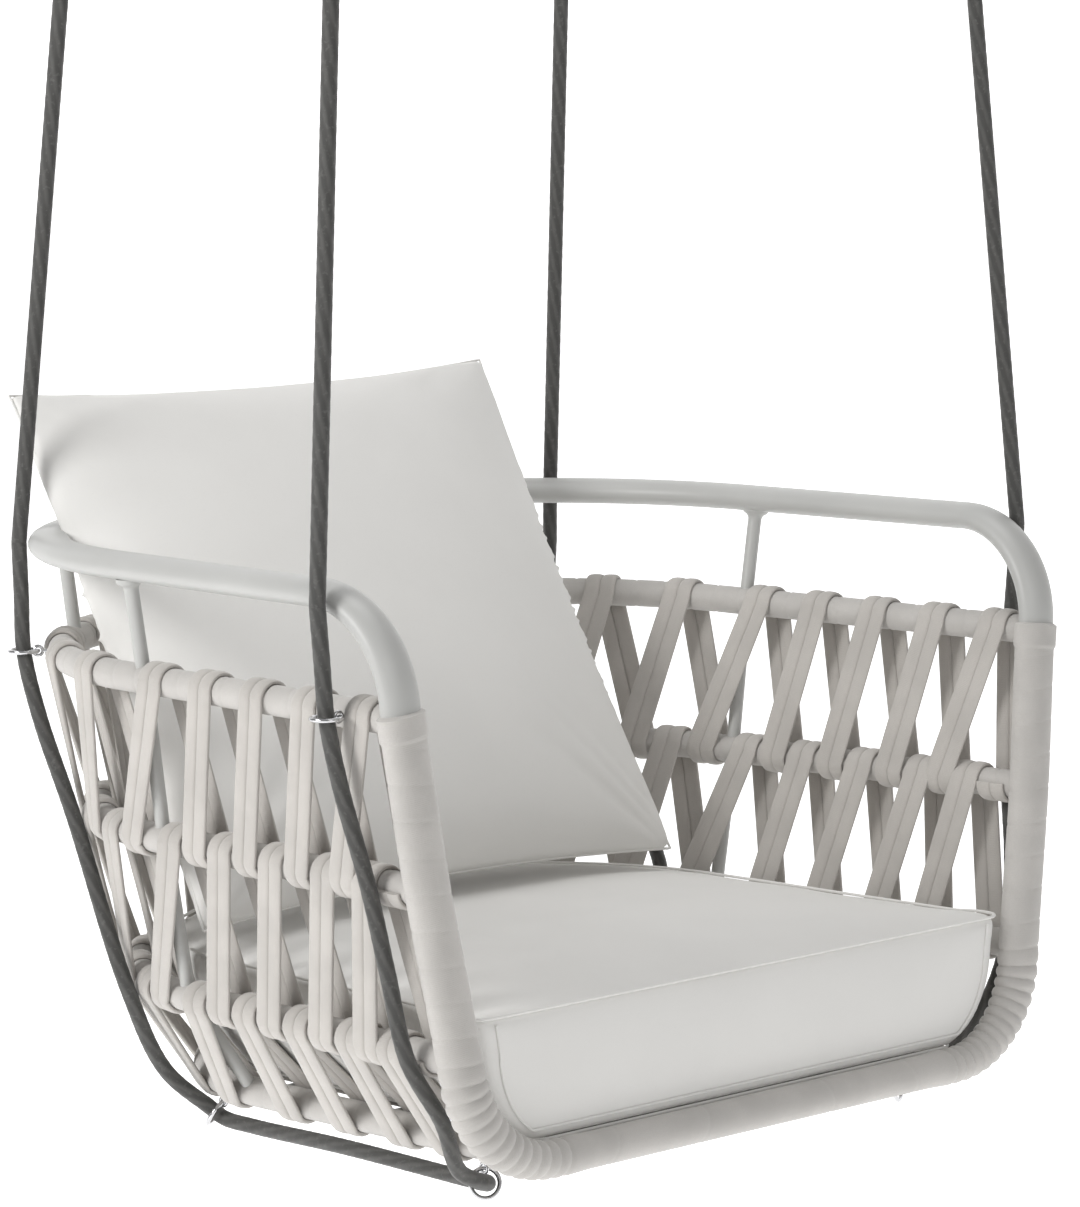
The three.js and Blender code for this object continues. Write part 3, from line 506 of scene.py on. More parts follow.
def belt_material(name, colour, across_rib):
    """Padded outdoor belt: fine knitted ribs across its run, soft clouding and a dry sheen."""
    tree = ShaderTree(name)
    along, around = tree.run()
    rib = (along * (2 * math.pi / 0.0016)).sine()
    stitch = (around * (2 * math.pi * across_rib)).sine()
    knit = rib * 0.5 + stitch * rib * 0.3
    grain = tree.noise(1500.0, 3.0)
    cloud = tree.noise(24.0, 4.0)
    tone = tree.mix(cloud.between(0.32, 0.68), shade(colour, 0.93), shade(colour, 1.05))
    fibre = tree.mix(grain.between(0.35, 0.7) * 0.5, tone, shade(colour, 0.86))
    return tree.finish(
        Base_Color=tree.mix((knit * 0.5 + 0.5) * 0.16, fibre, shade(colour, 0.78)),
        Roughness=grain * 0.12 + 0.74,
        Normal=tree.bump(knit * 0.6 + grain * 0.8, 0.00022, 0.55),
        Sheen_Weight=0.25,
        Sheen_Roughness=0.5,
    )


def rope_material(colour, light):
    """Round braided rope: long diagonal strands with a fainter set across them, a painted highlight on the
    raised strands, painted shade in the valleys and lighter random flecks.
    """
    tree = ShaderTree("charcoal_braided_rope")
    along, around = tree.run()
    lead = along * (1.0 / 0.034)
    rib = ((lead + around * 5.0) * (2 * math.pi)).sine()
    cross = ((lead - around * 5.0) * (2 * math.pi)).sine()
    weave = rib * 0.8 + cross * 0.2
    thread = tree.noise(1800.0, 3.0)
    fleck = tree.noise(260.0, 2.0)
    height = weave * 0.5 + 0.5
    # Painted highlight and shade: the colour goes towards the lighter tone where the braid is raised and
    # stays dark in its valleys.
    body = tree.mix(height.between(0.2, 1.0) * 0.3, colour, light)
    return tree.finish(
        Base_Color=tree.mix(fleck.between(0.55, 0.75) * 0.35, body, light),
        Roughness=thread * 0.15 + 0.7,
        Normal=tree.bump(height * 0.8 + thread * 0.35, 0.0005, 0.7),
        Sheen_Weight=0.2,
        Sheen_Roughness=0.5,
    )


def steel_material(colour):
    """Polished stainless steel: faint drawn lines and a few dull patches."""
    tree = ShaderTree("polished_stainless")
    smear = tree.noise(55.0, 4.0)
    line = tree.noise(1400.0, 2.0)
    return tree.finish(
        Base_Color=tree.mix(smear.between(0.35, 0.7) * 0.3, colour, shade(colour, 0.82)),
        Metallic=1.0,
        Roughness=smear * 0.2 + 0.1,
        Normal=tree.bump(line, 0.00004, 0.4),
    )


def cushion_material(name, colour):
    """Off-white outdoor canvas: a plain weave of fine threads with slubs, matt with a soft sheen."""
    tree = ShaderTree(name)
    place = tree.place()
    split = tree.nodes.new("ShaderNodeSeparateXYZ")
    tree.set(split.inputs[0], place)
    x, y, z = (Wire(tree, split.outputs[k]) for k in range(3))
    pitch = 2 * math.pi / 0.0013
    warp = (x * pitch).sine()
    weft = ((y + z) * pitch).sine()
    weave = warp * weft
    slub = tree.noise(420.0, 3.0)
    cloud = tree.noise(9.0, 3.0)
    tone = tree.mix(cloud.between(0.3, 0.7), shade(colour, 0.975), shade(colour, 1.0))
    thread = tree.mix((weave * 0.5 + 0.5) * 0.1, tone, shade(colour, 0.86))
    return tree.finish(
        Base_Color=tree.mix(slub.between(0.58, 0.75) * 0.12, thread, shade(colour, 0.84)),
        Roughness=slub * 0.1 + 0.82,
        Normal=tree.bump(weave * 0.6 + slub * 0.9, 0.0002, 0.5),
        Sheen_Weight=0.15,
        Sheen_Roughness=0.6,
    )


def mat_material(colour):
    """Coarse mesh cloth under the cushion: open squares of two crossing threads, with painted shade in the
    low grooves between them.
    """
    tree = ShaderTree("seat_mesh_cloth")
    place = tree.place()
    split = tree.nodes.new("ShaderNodeSeparateXYZ")
    tree.set(split.inputs[0], place)
    pitch = 2 * math.pi / 0.004
    warp = (Wire(tree, split.outputs[0]) * pitch).sine().size()
    weft = (Wire(tree, split.outputs[1]) * pitch).sine().size()
    thread = warp * weft
    return tree.finish(
        # Painted shade: the colour is darkest where the thread height is lowest, in the grooves.
        Base_Color=tree.mix(thread.between(0.1, 0.7), shade(colour, 0.45), shade(colour, 0.95)),
        Roughness=tree.noise(600.0) * 0.1 + 0.8,
        Normal=tree.bump(thread, 0.0004, 0.7),
    )


# ------------------------------------------------------------------ ropes
def front_hinge(side):
    """Where a front rope leans on the outside of the arm tube."""
    sag = upright_y(0.0) + ARM_BEND - ROPE_FROM_FRONT
    drop = ARM_BEND - math.sqrt(ARM_BEND**2 - sag**2)
    tube_centre = SEAT_HALF_WIDTH + ARM_SPREAD - SIDE_TAPER * ROPE_FROM_FRONT
    reach = tube_centre + ARM_TUBE_WIDE / 2 + ROPE_RADIUS + ROPE_CLEARANCE
    return np.array((side * reach, ROPE_FROM_FRONT, ARM_HEIGHT - drop))


def hinge(place, side):
    """Where a rope bends at the arm when the seat swings."""
    if place == "front":
        return front_hinge(side)
    return ARM.corner(ROPE_BACK_ANGLE, ARM_TUBE_WIDE / 2 + ROPE_RADIUS + ROPE_CLEARANCE, side)


def hanger_pivot(place, side):
    """The point on the bow that a rope swings about: the hinge plus the rope's lean times its rise."""
    inward, back = (0.083, 0.04) if place == "front" else (0.049, -0.093)
    low = hinge(place, side)
    rise = UPPER_RAIL_DEPTH - 40.0 - low[2]
    return low + (-side * inward * rise, back * rise, rise)


LOWER_ROPE = (
    (-435.95, 60.0, 46.44), (-431.70, 60.0, 0.0), (-425.0, 52.0, -55.0), (-405.06, 40.0, -144.0),
    (-396.0, 28.0, -215.0), (-382.16, 20.0, -289.0), (-348.0, 16.0, -345.0), (-309.0, 36.0, -398.0),
    (-267.49, 45.63, -416.60), (-259.21, 61.11, -420.56), (-255.35, 95.37, -421.58),
    (-257.49, 237.17, -418.64), (-243.63, 380.96, -424.69), (-247.87, 414.51, -421.71),
    (-255.40, 427.42, -411.67), (-293.63, 440.96, -374.69), (-342.75, 434.68, -289.0),
    (-338.38, 511.30, -144.0), (-338.75, 557.43, -57.60), (-334.66, 583.85, 0.0), (-335.83, 584.32, 50.0),
)


def rope_skin(path, diameter):
    """A round rope with a shallow braid: its radius varies as 1 + 0.022 sin(p) sin(q).

    p and q are the phases of the strands that turn to the right and to the left.
    """
    across, over = frames_of(path, (1.0, 0.0, 0.0))
    run = run_along(path)
    turn = (np.arange(20) + 0.5) / 20
    lead = run[:, None] / 24.0
    strands = np.sin(2 * math.pi * (lead + 4 * turn)) * np.sin(2 * math.pi * (lead - 4 * turn))
    radius = diameter / 2 * (1.0 + 0.022 * strands)
    rings = rounded_ends(sections(path, across, over, radius, radius, 20), path, diameter / 2)
    dome = np.arange(5) * 1.2
    run = np.concatenate([run[0] - 6.0 + dome, run, run[-1] + 1.2 + dome])
    return skin(rings, run=run * MILLIMETRE)


# ------------------------------------------------------------------ frame shapes
def arm_loop():
    """Left half of the frame loop from the back centre to the base centre: places, wide directions, widths.

    The arm follows its plan, the front bend is a quarter circle of radius ARM_BEND in a drifting plane, the
    upright is a spline through its levels, and the base bend is a quarter circle of radius BASE_BEND.
    """
    level, outward = ARM.at(np.linspace(ARM.half_length, 0.0, 90))
    quarter = np.linspace(0.0, math.pi / 2, 25)[1:, None]
    start = level[-1]
    shoulder = -(SEAT_HALF_WIDTH + 1.0)
    drift = quarter / (math.pi / 2)
    bend = np.hstack([
        start[0] + (shoulder - start[0]) * drift,
        start[1] - ARM_BEND * np.sin(quarter),
        ARM_HEIGHT - ARM_BEND * (1 - np.cos(quarter)),
    ])
    tilt = math.atan(25.0 / 145.0)
    bend_top = BASE_HEIGHT + BASE_BEND * (1 - math.sin(tilt))
    bend_x = -356.0 + math.tan(tilt) * (-289.0 - bend_top)
    centre_x = bend_x + BASE_BEND * math.cos(tilt)
    centre_z = BASE_HEIGHT + BASE_BEND
    knots = np.array([bend[-1], (-397.5, upright_y(-18.0), -18.0), (-381.0, upright_y(-144.0), -144.0),
                      (-365.0, upright_y(-236.0), -236.0), (bend_x, upright_y(bend_top), bend_top)])
    upright = through(knots, 60)[1:]
    angle = np.linspace(tilt, math.pi / 2, 26)[1:, None]
    z = centre_z - BASE_BEND * np.sin(angle)
    corner = np.hstack([centre_x - BASE_BEND * np.cos(angle), upright_y(z), z])
    base = np.linspace(corner[-1], (0.0, corner[-1][1], corner[-1][2]), 40)[1:]
    path = np.vstack([level, bend, upright, corner, base])
    travel = heading(path)
    travel[0] = (-1.0, 0.0, 0.0)
    travel[-1] = (1.0, 0.0, 0.0)
    sideways = np.array((-1.0, 0.0, 0.0)) - travel * -travel[:, :1]
    wide = np.vstack([outward, unit(sideways[len(level):len(level) + len(bend) + len(upright)]),
                      unit(np.cross((0.0, 1.0, 0.0), travel[-(len(corner) + len(base)):]))])
    oval = np.zeros(len(level) + len(bend) + len(upright))
    squeezed = np.linspace(0.0, 1.0, len(corner))
    swage = smoothstep(0.0, 1.0, np.concatenate([oval, squeezed, np.ones(len(base))]))
    return path, wide, np.cross(travel, wide), swage, len(level) + len(bend)


def tube_halves(swage):
    """Half width and half thickness of the frame tube: oval at the arm, round where it is swaged."""
    wide = ARM_TUBE_WIDE / 2 + (BASE_TUBE - ARM_TUBE_WIDE) / 2 * swage
    thin = ARM_TUBE_THIN / 2 + (BASE_TUBE - ARM_TUBE_THIN) / 2 * swage
    return wide, thin


def full_loop():
    """Rings of the left half of the frame loop, and of the mirrored right half."""
    path, wide, thin, swage, _ = arm_loop()
    rings = sections(path, wide, thin, *tube_halves(swage), 24)
    return rings, rings * (-1.0, 1.0, 1.0)


def belt_turns(run, pitch, depth):
    """Height of wound belts along a line: flat turns with a narrow valley of a depth at each join."""
    phase = np.abs((run / pitch) % 1.0 - 0.5) * 2.0
    return -depth * smoothstep(0.86, 1.0, phase)


def wound_tube(plan, start, end, diameter, pitch=31.0):
    """A rail wound with belt: its turns lean by 5 mm to each side, with a valley at each join."""
    distance = np.arange(start, end, 1.6)
    path, outward = plan.at(distance)
    up = np.broadcast_to((0.0, 0.0, 1.0), outward.shape)
    turn = (np.arange(20) + 0.5) / 20
    lean = 5.0 * np.cos(2 * math.pi * turn)
    radius = diameter / 2 + 0.5 + belt_turns(distance[:, None] + lean, pitch, 0.8)
    rings = sections(path, outward, up, radius, radius, 20)
    return skin(rings, run=distance * MILLIMETRE)


def belt_profile(width, thickness, points=9):
    """Outline of two padded belts side by side: each is a superellipse hump, the join between is a valley.

    Across runs from -width/2 to width/2. The height is half the thickness times (1 - |s|^3)^(1/2.4), with
    s from -1 to 1 over each belt, and never less than a thin web.
    """
    s = -np.cos(np.linspace(0.0, math.pi, points))
    hump = np.maximum((1.0 - np.abs(s) ** 3) ** (1 / 2.4), 0.16)
    half = width / 4.0
    across = np.concatenate([s * half - half, (s * half + half)[1:]])
    height = np.concatenate([hump, hump[1:]]) * thickness / 2.0
    height[[0, -1]] = thickness * 0.18
    across = np.concatenate([across, across[::-1]])
    height = np.concatenate([height, -height[::-1]])
    return across, height


PLACES = 2 * SIDE_SLOTS + BACK_SLOTS


def belt_places(top_name):
    """Places of one tier's belt on its two rails, from the right front to the left front.

    It crosses the top rail at the even places and the bottom rail at the odd ones. At the fronts it is moved
    over by part of a place, so that the ends of two tiers lie side by side on the rail that they share.
    """
    tops = np.arange(PLACES - 1, -1, -2.0)
    bottoms = np.concatenate([[PLACES - 0.6], tops[1:] + 1.0, [-0.4]])
    bottoms[1] -= 0.3
    bottoms[-2] += 0.3
    if top_name != "upper":
        tops[0] -= 0.45
        tops[-1] += 0.45
    return tops, bottoms


def belt_tier(top_name, bottom_name, width, thickness, reach):
    """One belt wound between two rails.

    The line goes under the lower rail, up the outside, over the upper rail and down the inside to the
    next place. The loops are half circles of radius reach about the rails, and the inside passes lie
    flatter. It ends with a half turn under the lower rail.
    """
    top, bottom = RAILS[top_name], RAILS[bottom_name]
    top_index, bottom_index = belt_places(top_name)
    centre_low, along_low, out_low = bottom.place(bottom_index)
    centre_top, along_top, out_top = top.place(top_index)
    count = len(centre_top)
    below, _, out_below = bottom.place(top_index)
    shift = np.einsum("ij,ij->i", centre_top - below, out_below)
    tilt_top = -np.arctan2(shift, top.height - bottom.height)[:, None]
    tilt_low = np.vstack([tilt_top, tilt_top[-1:]])
    loop = np.linspace(0.0, math.pi, 13)
    up = np.array((0.0, 0.0, 1.0))

    def half_circle(centre, out, angles):
        radial = np.cos(angles)[..., None] * out[:, None] + np.sin(angles)[..., None] * up
        return centre[:, None] + reach * radial, radial

    low_loop, low_radial = half_circle(centre_low, out_low, loop + math.pi + tilt_low)
    top_loop, top_radial = half_circle(centre_top, out_top, loop + tilt_top)
    rise = np.linspace(0.0, 1.0, 8)[1:-1][None, :, None]

    def straight(first, last):
        return first[:, None] * (1 - rise) + last[:, None] * rise

    outside = straight(low_loop[:-1, -1], top_loop[:, 0])
    outside_radial = unit(straight(low_radial[:-1, -1], top_radial[:, 0]))
    outside_along = unit(straight(along_low[:-1], along_top))
    inside = straight(top_loop[:, -1], low_loop[1:, 0])
    inside_radial = unit(straight(top_radial[:, -1], low_radial[1:, 0]))
    inside_along = unit(straight(along_top, along_low[1:]))

    def joined(low, out, over, into):
        rounds = np.concatenate([low[:-1], out, over, into], 1).reshape(-1, 3)
        return np.vstack([rounds, low[-1]])

    spread = (1, 13, 1)
    path = joined(low_loop, outside, top_loop, inside)
    radial = joined(low_radial, outside_radial, top_radial, inside_radial)
    round_low, round_top = np.tile(along_low[:, None], spread), np.tile(along_top[:, None], spread)
    along = joined(round_low, outside_along, round_top, inside_along)
    travel = heading(path)
    across = unit(along - travel * np.einsum("ij,ij->i", along, travel)[:, None])
    over = unit(np.cross(across, travel))
    over *= np.sign(np.einsum("ij,ij->i", over, radial))[:, None]
    u, h = belt_profile(width, thickness)
    pressed = np.linspace(0.8, 1.0, 13)
    turn = np.concatenate([pressed, np.ones(6), np.linspace(1.0, 0.8, 13), np.full(6, 0.7)])
    flat = np.concatenate([np.tile(turn, count), pressed])
    crown = (h[None] * flat[:, None])[..., None] * over[:, None]
    rings = path[:, None] + u[None, :, None] * across[:, None] + crown
    return skin(rings, run=run_along(path) * MILLIMETRE)


def side_post_points(side):
    """The side post's line: arm, upper, middle and lower rail, then towards the base rail."""
    stops = [plan.at(plan.length_at_y(POST_FROM_FRONT))[0] for plan in RAILS.values()]
    top = ARM.at(ARM.length_at_y(POST_FROM_FRONT))[0] - (0.0, 0.0, 9.0)
    stops[3] = stops[3] - unit(stops[3] - stops[2]) * 12.0
    return mirrored(np.array([top, *stops]), side)


def flared_post(top, bottom, diameter, turns=20):
    """A straight post whose radius grows as a quarter circle under the tube that it is welded to."""
    share = np.concatenate([np.linspace(0.0, 0.25, 14), np.linspace(0.25, 1.0, 6)[1:]])[:, None]
    path = np.asarray(top) * (1 - share) + np.asarray(bottom) * share
    depth = run_along(path)
    weld = 7.0 - np.sqrt(np.maximum(49.0 - np.maximum(12.0 - depth, 0.0) ** 2, 0.0))
    radius = diameter / 2 + np.minimum(weld, 6.0)
    across, over = frames_of(path, (0.0, 1.0, 0.0))
    return skin(sections(path, across, over, radius, radius, turns), run=depth * MILLIMETRE)


# ------------------------------------------------------------------ cushions
CLOTH_FRAMES = 20
CLOTH_PRESSURE = 4.0
CLOTH_REACH = 24.0


def inflated(source, name, voxel, pins):
    """A puffed copy of a closed shape: voxel remesh, then cloth under pressure with pinned seams.

    The simulated points move from p to p + d min(1, CLOTH_REACH / |d|), and a subdivision smooths the result.
    """
    scene = bpy.context.scene
    mesh = source.copy()
    obj = bpy.data.objects.new(name, mesh)
    scene.collection.objects.link(obj)
    remesh = obj.modifiers.new("Remesh", "REMESH")
    remesh.mode = "VOXEL"
    remesh.voxel_size = voxel * MILLIMETRE
    solid = bpy.data.meshes.new_from_object(obj.evaluated_get(bpy.context.evaluated_depsgraph_get()))
    obj.modifiers.clear()
    obj.data = solid
    start = np.zeros(len(solid.vertices) * 3, np.float32)
    solid.vertices.foreach_get("co", start)
    start = start.reshape(-1, 3)
    group = obj.vertex_groups.new(name="seams")
    held = np.nonzero(pins(start))[0]
    group.add(held.tolist(), 1.0, "REPLACE")
    cloth = obj.modifiers.new("Cloth", "CLOTH")
    settings = cloth.settings
    settings.use_pressure = True
    settings.uniform_pressure_force = CLOTH_PRESSURE
    settings.effector_weights.gravity = 0.0
    settings.vertex_group_mass = "seams"
    settings.quality = 4
    settings.mass = 0.3
    settings.tension_stiffness = 12.0
    settings.compression_stiffness = 12.0
    settings.shear_stiffness = 4.0
    settings.bending_stiffness = 0.4
    cloth.collision_settings.use_collision = False
    cloth.point_cache.frame_start = 1
    cloth.point_cache.frame_end = CLOTH_FRAMES
    for step in range(1, CLOTH_FRAMES + 1):
        scene.frame_set(step)
    moved = np.zeros(len(start) * 3, np.float32)
    obj.evaluated_get(bpy.context.evaluated_depsgraph_get()).data.vertices.foreach_get("co", moved)
    push = moved.reshape(-1, 3) - start
    reach = np.linalg.norm(push, axis=1, keepdims=True)
    push *= np.minimum(1.0, CLOTH_REACH * MILLIMETRE / np.maximum(reach, 1e-9))
    obj.modifiers.clear()
    obj.vertex_groups.clear()
    solid.vertices.foreach_set("co", (start + push).ravel())
    scene.frame_set(1)
    solid.polygons.foreach_set("use_smooth", np.ones(len(solid.polygons), bool))
    solid.update()
    smooth = obj.modifiers.new("Soften", "SUBSURF")
    smooth.levels = smooth.render_levels = 1
    bpy.data.meshes.remove(mesh)
    return obj


CUSHION_BEND = -288.0


def front_half_width(height):
    """Half the width between the wound uprights: straight above the bend, an ellipse within it."""
    above = 330.7 + (height - CUSHION_BEND) * 0.1724
    within = 256.8 + 73.9 * math.sqrt(max(0.0, 1.0 - ((height - CUSHION_BEND) / 84.0) ** 2))
    return above if height > CUSHION_BEND else within


def room_outline(height, inset, front_y, corner, lobe):
    """The free outline inside the basket at a height, as a closed loop from the middle of the front.

    Behind, it is the lower rails' plan there, drawn inward by the belts' reach and an inset. Within 30 mm
    of the front, with lobe 1, it widens to the room between the uprights, and it has round front corners.
    """
    low, high = RAILS["base"], RAILS["lower"]
    share = min(max((height - low.height) / (high.height - low.height), 0.0), 1.0)
    keys = ("radius", "taper", "back", "half_width")
    mix = {key: getattr(low, key) * (1 - share) + getattr(high, key) * share for key in keys}
    slope = (high.half_width - low.half_width) / (high.height - low.height)
    reach = 19.5 * math.hypot(1.0, slope) + inset
    radius, lean = mix["radius"] - reach, math.atan(mix["taper"])
    centre_y = mix["back"] - reach - radius
    centre_x = -(mix["half_width"] - mix["taper"] * centre_y - reach) + radius / math.cos(lean)
    angle = np.linspace(lean, math.pi / 2, 14)
    turn = np.stack([centre_x - radius * np.cos(angle), centre_y + radius * np.sin(angle)], -1)
    y = front_y + corner + (turn[0, 1] - front_y - corner) * np.linspace(0.0, 1.0, 18)[:-1] ** 2
    x = mix["half_width"] - mix["taper"] * y - reach
    x = x + (front_half_width(height) - inset * 0.4 - x) * (1.0 - smoothstep(12.0, 38.0, y)) * lobe
    side = np.stack([-x, y], -1)
    round_off = np.linspace(0.0, math.pi / 2, 7)[:-1]
    bend_x, bend_y = side[0, 0] + corner * (1 - np.sin(round_off)), front_y + corner * (1 - np.cos(round_off))
    bend = np.stack([bend_x, bend_y], -1)
    front = np.linspace((0.0, front_y), bend[0], 15)[:-1]
    back = np.linspace(turn[-1], (0.0, turn[-1, 1]), 9)[1:]
    half = np.vstack([front, bend, side, turn, back])
    loop = np.vstack([half, (half * (-1.0, 1.0))[-2:0:-1]])
    return np.hstack([loop, np.full((len(loop), 1), height)])


def near_line(points, line, reach):
    """True for each point that lies within reach of any point of the line."""
    found = np.zeros(len(points), bool)
    for start in range(0, len(points), 4000):
        gap = np.linalg.norm(points[start:start + 4000, None] - line[None], axis=2)
        found[start:start + 4000] = gap.min(1) < reach
    return found


CUSHION_FRONT = -14.0
CUSHION_TOP = -258.0
SEAM_INSIDE = 22.0
PILLOW_LEAN = 0.518
PILLOW_CENTRE = (-21.0, 489.0, -1.0)


def cushion_loops():
    """Outlines of the seat cushion from its bottom seam to its top seam, dense round the front bend."""
    bend = np.linspace(math.radians(86.0), 0.0, 10)
    heights = np.concatenate([CUSHION_BEND - 82.7 * np.sin(bend), [-276.0, -264.0, CUSHION_TOP]])
    return [room_outline(height, 3.0, CUSHION_FRONT, 18.0, 1.0) for height in heights]


def cushion_front_seam():
    """The seam a little inside the front face's edge, from one top corner round to the other."""
    bend = np.linspace(0.0, math.radians(80.0), 16)
    heights = np.concatenate([[CUSHION_TOP - 6.0, -276.0], CUSHION_BEND - 74.0 * np.sin(bend)])
    x = [-(front_half_width(height) - SEAM_INSIDE) for height in heights]
    half = np.stack([x, np.full(len(heights), CUSHION_FRONT - 0.5), heights], -1)
    return np.vstack([half, (half * (-1.0, 1.0, 1.0))[::-1]])


def cushion_skin():
    """The cushion's sides through its outlines, closed by a flat bottom and a crowned top.

    The top rises as 14 (1 - r^2.2) mm, with r from 0 at the middle to 1 at the seam.
    """
    loops = cushion_loops()
    centre = np.array((0.0, 260.0, 0.0))
    top = loops[-1]
    shrink = np.linspace(0.04, 1.0, 22)[::-1][1:]
    crown = [centre + (top - centre) * (r, r, 1.0) + (0.0, 0.0, 14.0 * (1 - r**2.2)) for r in shrink]
    floor = loops[0]
    under = [centre + (floor - centre) * (r, r, 1.0) for r in shrink[::-1]]
    return skin(np.array(under + loops + crown))


def pillow_point(u, v, w):
    """A point of the pillow's own frame, u across, v up and w forward, leaned back and set in its place."""
    lean_up = np.array((0.0, math.sin(PILLOW_LEAN), math.cos(PILLOW_LEAN)))
    lean_front = np.array((0.0, -math.cos(PILLOW_LEAN), math.sin(PILLOW_LEAN)))
    return (
        np.array(PILLOW_CENTRE)
        + u[..., None] * np.array((1.0, 0.0, 0.0))
        + v[..., None] * lean_up
        + w[..., None] * lean_front
    )


def pillow_outline(s, t, width, height):
    """Edge shape: the sides bow inward by about 5% at their middles, which draws the corners out."""
    u = s * width / 2 * (1.0 - 0.055 * (1 - t**2))
    v = t * height / 2 * (1.0 - 0.05 * (1 - s**2))
    return u, v


def pillow_skin(width, height, thickness):
    """Two sheets joined at a knife edge: half thickness T/2 ((1 - s^2)(1 - t^2))^0.45 over 3 mm.

    The half thickness past those 3 mm is also multiplied by 1 - 0.14 t: the lower half is fuller.
    """
    s = np.sin(np.linspace(-math.pi / 2, math.pi / 2, 49)) * 0.999
    t = np.sin(np.linspace(-math.pi / 2, math.pi / 2, 45)) * 0.999
    grid_s, grid_t = np.meshgrid(s, t, indexing="ij")
    u, v = pillow_outline(grid_s, grid_t, width, height)
    full = ((1 - grid_s**2) * (1 - grid_t**2)) ** 0.45
    half = 3.0 + (thickness / 2 - 3.0) * full * (1.0 - 0.14 * grid_t)
    front, back = pillow_point(u, v, half), pillow_point(u, v, -half)
    return skin(np.concatenate([front, back[:, ::-1]], 1))


def pillow_edge(width, height):
    """The seam line round the pillow's four edges."""
    side = np.linspace(-1.0, 1.0, 60)
    one = np.ones(60)
    s = np.concatenate([side, one, -side, -one])
    t = np.concatenate([-one, side, one, -side])
    u, v = pillow_outline(s, t, width, height)
    return pillow_point(u, v, np.zeros_like(u))


def piping(loop, diameter):
    """A closed cord along a seam."""
    path = evenly(np.vstack([loop, loop[:1]]), 4.0)[:-1]
    travel = heading(path, closed=True)
    across = unit(np.cross(travel, (0.03, 0.02, 1.0)))
    over = np.cross(travel, across)
    run = np.arange(len(path)) * 4.0 * MILLIMETRE
    return skin(sections(path, across, over, diameter / 2, diameter / 2, 8), closed=True, run=run)


# ------------------------------------------------------------------ settings
def size(name, text, default):
    """A length in metres that the panel shows."""
    return bpy.props.FloatProperty(
        name=name, description=text, default=default, subtype="DISTANCE", unit="LENGTH"
    )


def colour(name, text, default):
    """A colour that the panel shows."""
    return bpy.props.FloatVectorProperty(
        name=name, description=text, default=default, subtype="COLOR", size=3, min=0, max=1
    )


class SwingSizes(bpy.types.PropertyGroup):
    """Sizes of the parts that can be changed without moving the frame's joints."""

    rope: size("Rope diameter", "Diameter of the four ropes", 0.014)
    rail: size("Rail diameter", "Diameter of a rail over its winding", 0.0255)
    belt_width: size("Belt width", "Width of the double padded belt", 0.0305)
    belt_thickness: size("Belt thickness", "Thickness of the padded belt at its crown", 0.0056)
    belt_reach: size("Belt reach", "Distance from a rail's axis to the middle of the belt round it", 0.0152)
    post: size("Post diameter", "Diameter of the side and corner posts", 0.013)
    ring: size("Ring diameter", "Outer diameter of the rope rings", 0.030)
    ring_wire: size("Ring wire", "Diameter of the rings' wire", 0.004)
    plate: size("Plate diameter", "Diameter of the ceiling plates", 0.070)
    pillow_width: size("Pillow width", "Width of the back pillow between its corners", 0.592)
    pillow_height: size("Pillow height", "Height of the back pillow between its corners", 0.532)
    pillow_thickness: size("Pillow thickness", "Thickness of the back pillow before it is filled", 0.135)


class SwingLooks(bpy.types.PropertyGroup):
    """Colours of the finishes."""

    powder_coat: colour("Powder coat", "Warm grey of the coated tube", (0.47, 0.47, 0.455))
    strap: colour("Belt", "Greige of the padded belts", (0.50, 0.475, 0.445))
    wrap: colour("Wrap", "Greige of the wound tube and rails", (0.52, 0.50, 0.475))
    rope: colour("Rope", "Charcoal of the rope", (0.052, 0.051, 0.048))
    # The lighter rope colour is the painted highlight on the raised strands, and also the tone of the random
    # flecks.
    rope_highlight_and_fleck: colour("Rope light", "Lighter raised strands of the rope", (0.15, 0.148, 0.14))
    stainless: colour("Stainless", "Polished stainless steel", (0.62, 0.62, 0.63))
    cushion: colour("Cushion", "Off-white canvas", (0.80, 0.79, 0.765))
    floor: colour("Floor", "Pale floor and background", (0.93, 0.93, 0.93))


FINISHES = {}


def finish(name):
    """The material of a finish, made on first use."""
    looks = bpy.context.scene.swing_looks
    makers = {
        "powder_coat": lambda: powder_coat_material(tuple(looks.powder_coat)),
        "strap": lambda: belt_material("greige_padded_belt", tuple(looks.strap), 26.0),
        "wrap": lambda: belt_material("greige_wound_belt", tuple(looks.wrap), 40.0),
        "rope": lambda: rope_material(shade(looks.rope, 1.0), shade(looks.rope_highlight_and_fleck, 1.0)),
        "stainless": lambda: steel_material(shade(looks.stainless, 1.0)),
        "cushion": lambda: cushion_material("off_white_canvas", tuple(looks.cushion)),
        "mat": lambda: mat_material(tuple(looks.strap)),
    }
    if name not in FINISHES:
        FINISHES[name] = makers[name]()
    return FINISHES[name]


def millimetres(name):
    """One of the panel's sizes, in millimetres."""
    return getattr(bpy.context.scene.swing_sizes, name) / MILLIMETRE


def add_steel(name, skins, body, node, crease=40.0):
    """A piece of polished stainless steel that stands for one node."""
    return add_piece(name, make_mesh(node, skins, crease), body, [node], finish("stainless"))


def add_coated(name, skins, *nodes):
    """A powder-coated piece of the seat's frame."""
    return add_piece(name, make_mesh(nodes[0], skins), "seat", nodes, finish("powder_coat"))


